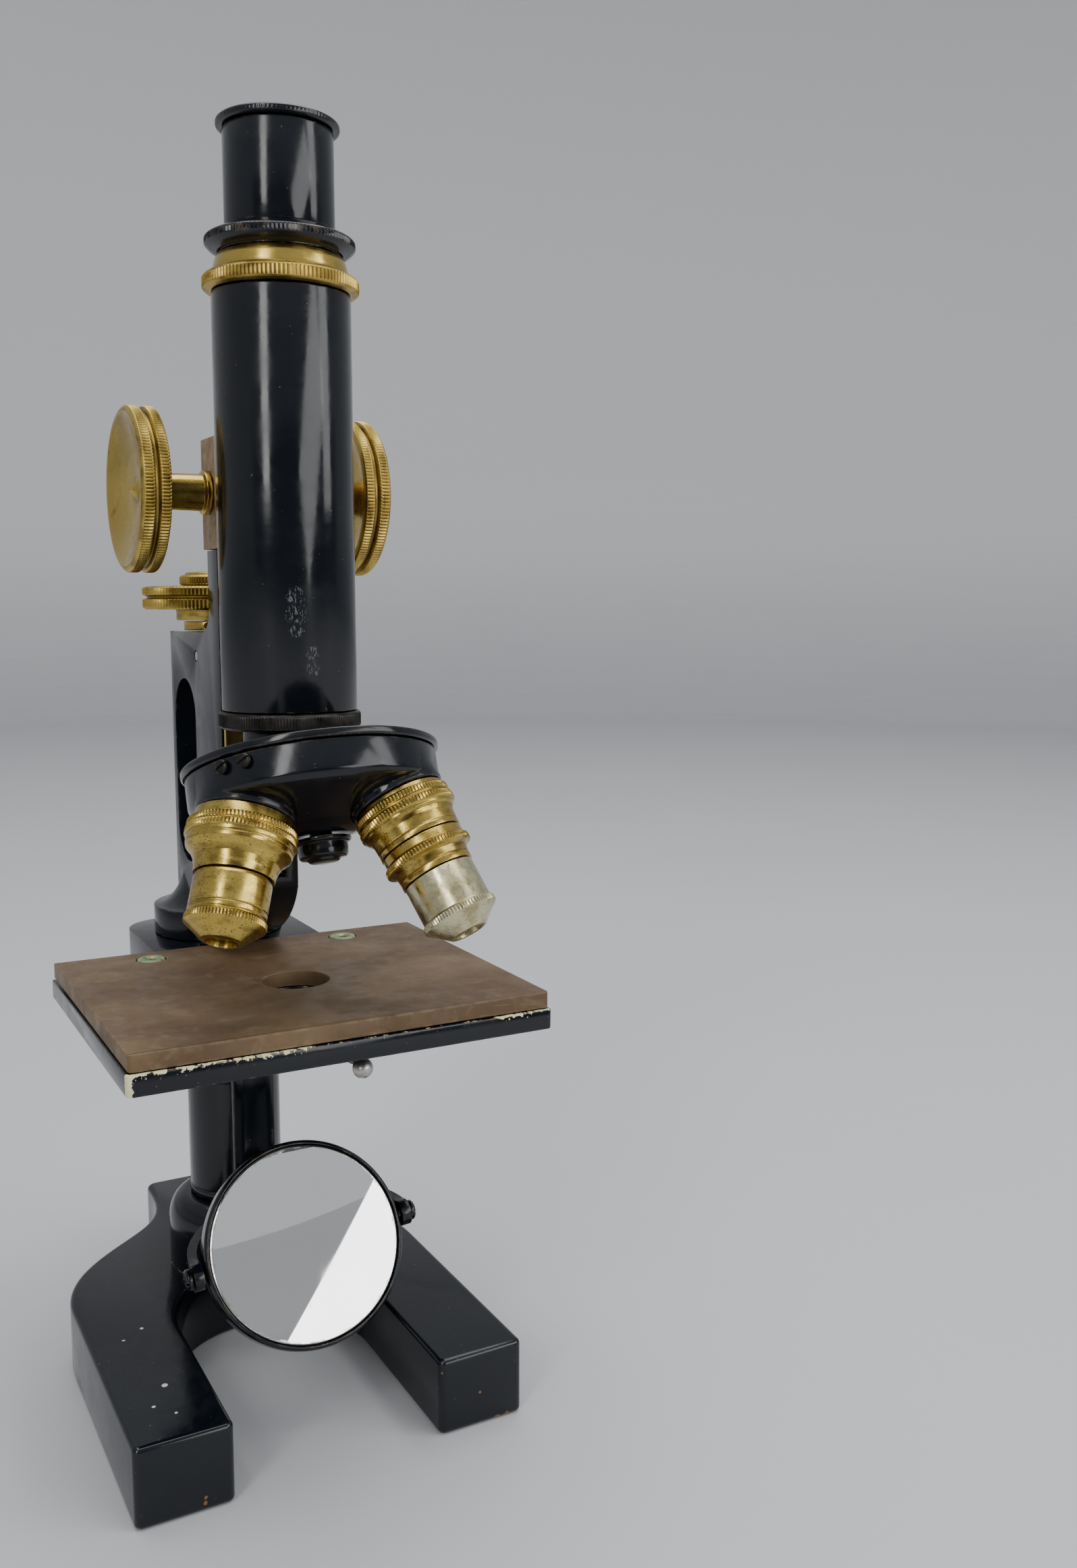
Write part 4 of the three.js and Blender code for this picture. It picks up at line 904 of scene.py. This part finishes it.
def build_high_objective(place):
    collar = [[7.6, -71.6], [10.1, -71.6], [10.1, -70.4], [9.95, -70.2], [10.1, -70], [10.3, -67.7],
              [10.7, -66.7], [11.3, -66.2], [11.3, -65.6], [12, -65.2], [12, -63.9], [11.4, -63.5],
              [11.4, -63.1], [11.8, -62.8], [11.8, -61.6], [11.3, -61.3], [10.9, -61.1], [10.9, -60.2],
              [7.6, -60.2]]
    knurls = [[-65.25, -63.85, 11.9], [-62.85, -61.55, 11.7]]
    collar = turned("collar", collar, place, knurls, 88, 0.28, 0.1)
    shown(collar, OBJECTIVE_BRASS, "high_objective_collar")
    middle = [[6, -80], [8.8, -80], [8.8, -78.6], [8.65, -78.4], [8.8, -78.2], [9, -76.6], [9.8, -76.1],
              [10.7, -75.7], [10.7, -74.5], [10.2, -74.1], [9.9, -73.8], [9.9, -71.9], [6, -71.9]]
    middle = turned("middle", middle, place, [[-75.75, -74.45, 10.6]], 80, 0.26, 0.1)
    shown(middle, OBJECTIVE_BRASS, "high_objective_barrel")
    nose = [[3.1, -95.3], [4.4, -95.3], [7.2, -92.9], [8.5, -91.9], [9, -91.5], [9, -90.2], [8.7, -89.9],
            [8.4, -89.7], [8.5, -80.3], [5.6, -80.3], [5.6, -88], [3.1, -91]]
    nose = turned("nose", nose, place, [[-91.55, -90.15, 8.95]], 72, 0.22, 0.08)
    shown(nose, NICKEL, "high_objective_nose")


# ---- mirror ----
def build_mirror():
    low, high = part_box("tail_bar")
    outline = arc(0, BAR_PIVOT_HEIGHT, 6, 0, 180) + arc(0, MIRROR_HEIGHT, 6, 180, 360)
    holes = [circle(0, height, 2.6, 32) for height in (BAR_PIVOT_HEIGHT, MIRROR_HEIGHT)]
    bar = plate("bar", [outline] + holes, low.y / MM, high.y / MM, "Y")
    shown(rounded(bar, 0.5, 3), LACQUER, "tail_bar")
    place = joint_frame("tail_bar_swing", (0, -1, 0))
    head = [[0, -7.3], [2.3, -7.3], [2.3, 0.3], [5, 0.3], [5, 2.9], [4.4, 3.4], [0, 3.4]]
    screw = turned("screw", head, place, fillet=0.25, sides=64)
    screw = slotted(screw, 6, 0.5, 2.3, 5, place @ Matrix.Rotation(0.5, 4, "Z"))
    shown(screw, STEEL, "tail_bar_screw")

    pin = Vector(JOINTS["mirror_tilt"]["axis"]).normalized()
    centre = Vector(JOINTS["mirror_tilt"]["pos_m"])
    roll = math.atan2(-pin.z, pin.x)
    hub = Matrix.Translation(centre) @ Matrix.Rotation(roll, 4, "Y")
    bow_inner, bow_outer, pin_line = 26.8, 29.2, hub @ along((1, 0, 0))
    bow = arc(0, 0, bow_outer, 0, 180, 64) + arc(0, 0, bow_inner, 180, 0, 64)
    fork = plate("fork", [bow], -3, 3, "Z", hub)
    steps = [("UNION", rod(3.4, bow_inner, bow_outer, hub @ along((side, 0, 0)), 40)) for side in (-1, 1)]
    steps.append(("UNION", rod(2.3, 27.5, 43.4, hub @ along((0, 1, 0)), 40)))
    steps.append(("DIFFERENCE", rod(1.6, -40, 40, pin_line, 32)))
    shown(rounded(combined(fork, *steps), 0.35, 2), LACQUER, "mirror_fork")
    for side, node in ((-1, "mirror_pivot_left"), (1, "mirror_pivot_right")):
        place = hub @ along((side, 0, 0))
        screw = [[0, 25.5], [1.3, 25.5], [1.3, 29.5], [2.6, 29.5], [2.6, 30.5], [2.1, 31], [0, 31]]
        screw = turned("screw", screw, place, fillet=0.15, sides=40)
        shown(slotted(screw, 4, 0.3, 30.4, 32, place), LACQUER, node)
    face = hub @ Matrix.Rotation(MIRROR_TILT, 4, "X") @ along((0, -1, 0))
    ring = [[24.9, -3], [25.3, -3], [25.8, -2.6], [26, -2.1], [26, 2.1], [25.8, 2.6], [25.3, 3], [24.9, 3],
            [24.9, 0.5], [21, 0.5], [21, -0.5], [24.9, -0.5]]
    ring = turned("ring", ring, face, fillet=0.1, sides=TUBE_SIDES)
    combined(ring, ("DIFFERENCE", rod(1.6, -40, 40, pin_line, 24)))
    shown(ring, LACQUER, "mirror_ring")
    glass, dish = 24.6, 0.8
    flat = [[0, 0.8], [glass, 0.8], [glass, 2.5], [24.2, 2.7], [0, 2.7]]
    shown(turned("flat", flat, face, fillet=0.02, sides=TUBE_SIDES), MIRROR_GLASS, "mirror_flat")
    dished = [[glass * k / 12, -1.9 - dish * (k / 12) ** 2] for k in range(13)] + [[glass, -0.8], [0, -0.8]]
    shown(turned("concave", dished, face, fillet=0.02, sides=TUBE_SIDES), MIRROR_GLASS, "mirror_concave")


build_base()
build_pillar()
build_bracket()
build_arm()
build_stage()
build_iris()
build_fine_focus()
build_coarse_focus()
build_tube()
build_nosepiece()
build_mirror()


# ---- floor, light and camera ----
def build_floor():
    """A round floor that curves up into a wall; the wall behind the camera is darker, a painted shade that stands
    in for a dim room there.
    """
    s = Shader("studio_floor")
    split = s.tree.nodes.new("ShaderNodeSeparateXYZ")
    s.put(split.inputs[0], s.place)
    color = s.blend(s.noise(0.004, 4.0), (0.5, 0.505, 0.52), (0.54, 0.545, 0.56))
    color = s.blend(s.between(split.outputs[2], 0, 500), color, (0.76, 0.76, 0.765))
    # Painted shade: the wall behind the camera is painted dark, as a dim room would be, so that the metal and the
    # lacquer reflect darkness from that side.
    behind, lower = s.between(split.outputs[1], -600, -1100), s.between(split.outputs[2], 1100, 800)
    s.set(s.blend(s.math("MULTIPLY", behind, lower), color, (0.24, 0.24, 0.25)), 0.6)
    level, flat, cove, wall_top = -0.2, 2300, 500, 1700
    outline = [[0, level], [flat, level]]
    outline += [[flat + cove * math.sin(a), level + cove * (1 - math.cos(a))]
                for a in spread(math.pi / 2, 16, 1)]
    outline += [[flat + cove, wall_top], [flat + cove + 10, wall_top], [flat + cove + 10, -10], [0, -10]]
    floor = turned("studio_floor", outline, LENS_FRAME, fillet=0.01)
    floor.data.materials.append(s.material)
    floor.data.shade_smooth()


def add_light(name, place, target, width, height, power, roll=0):
    data = bpy.data.lights.new(name, "AREA")
    data.shape = "RECTANGLE"
    data.size, data.size_y, data.energy = width, height, power
    lamp = bpy.data.objects.new(name, data)
    lamp.location = place
    aimed = (Vector(target) - Vector(place)).to_track_quat("-Z", "Y").to_matrix()
    lamp.rotation_euler = (aimed @ Matrix.Rotation(math.radians(roll), 3, "Z")).to_euler()
    bpy.context.scene.collection.objects.link(lamp)


def build_light():
    world = bpy.data.worlds.new("studio")
    world.use_nodes = True
    background = world.node_tree.nodes["Background"]
    background.inputs["Color"].default_value = (0.5, 0.515, 0.54, 1)
    background.inputs["Strength"].default_value = 1.0
    bpy.context.scene.world = world
    aim = (0, 0, 0.15)
    add_light("overhead", (0.1, 0.0, 1.6), aim, 1.4, 1.4, 20)
    add_light("window", (-1.1, -1.0, 0.9), aim, 0.3, 1.2, 9)
    add_light("fill", (1.2, -0.9, 0.8), aim, 0.4, 1.0, 5)
    add_light("ceiling_panel", (0.69, -1.42, 0.59), (0, LENS_Y * MM, 0.05), 0.6, 1.2, 9, roll=-53)


def build_camera():
    """The photo's own view, from a fit of the camera to the object."""
    data = bpy.data.cameras.new("camera")
    data.sensor_width, data.lens = 36.0, 31.441
    data.clip_start, data.clip_end = 0.01, 50
    camera = bpy.data.objects.new("camera", data)
    bpy.context.scene.collection.objects.link(camera)
    forward = Vector((0.48163803, 0.86723433, -0.12621184))
    right = Vector((0.87433011, -0.48532866, 0.00171898))
    up = right.cross(forward)
    turn = Matrix((right, up, -forward)).transposed().to_4x4()
    camera.matrix_world = LENS_FRAME @ Matrix.Translation((-0.11078, -0.32637, 0.21084)) @ turn
    bpy.context.scene.camera = camera


build_floor()
build_light()
build_camera()
bpy.context.view_layer.update()
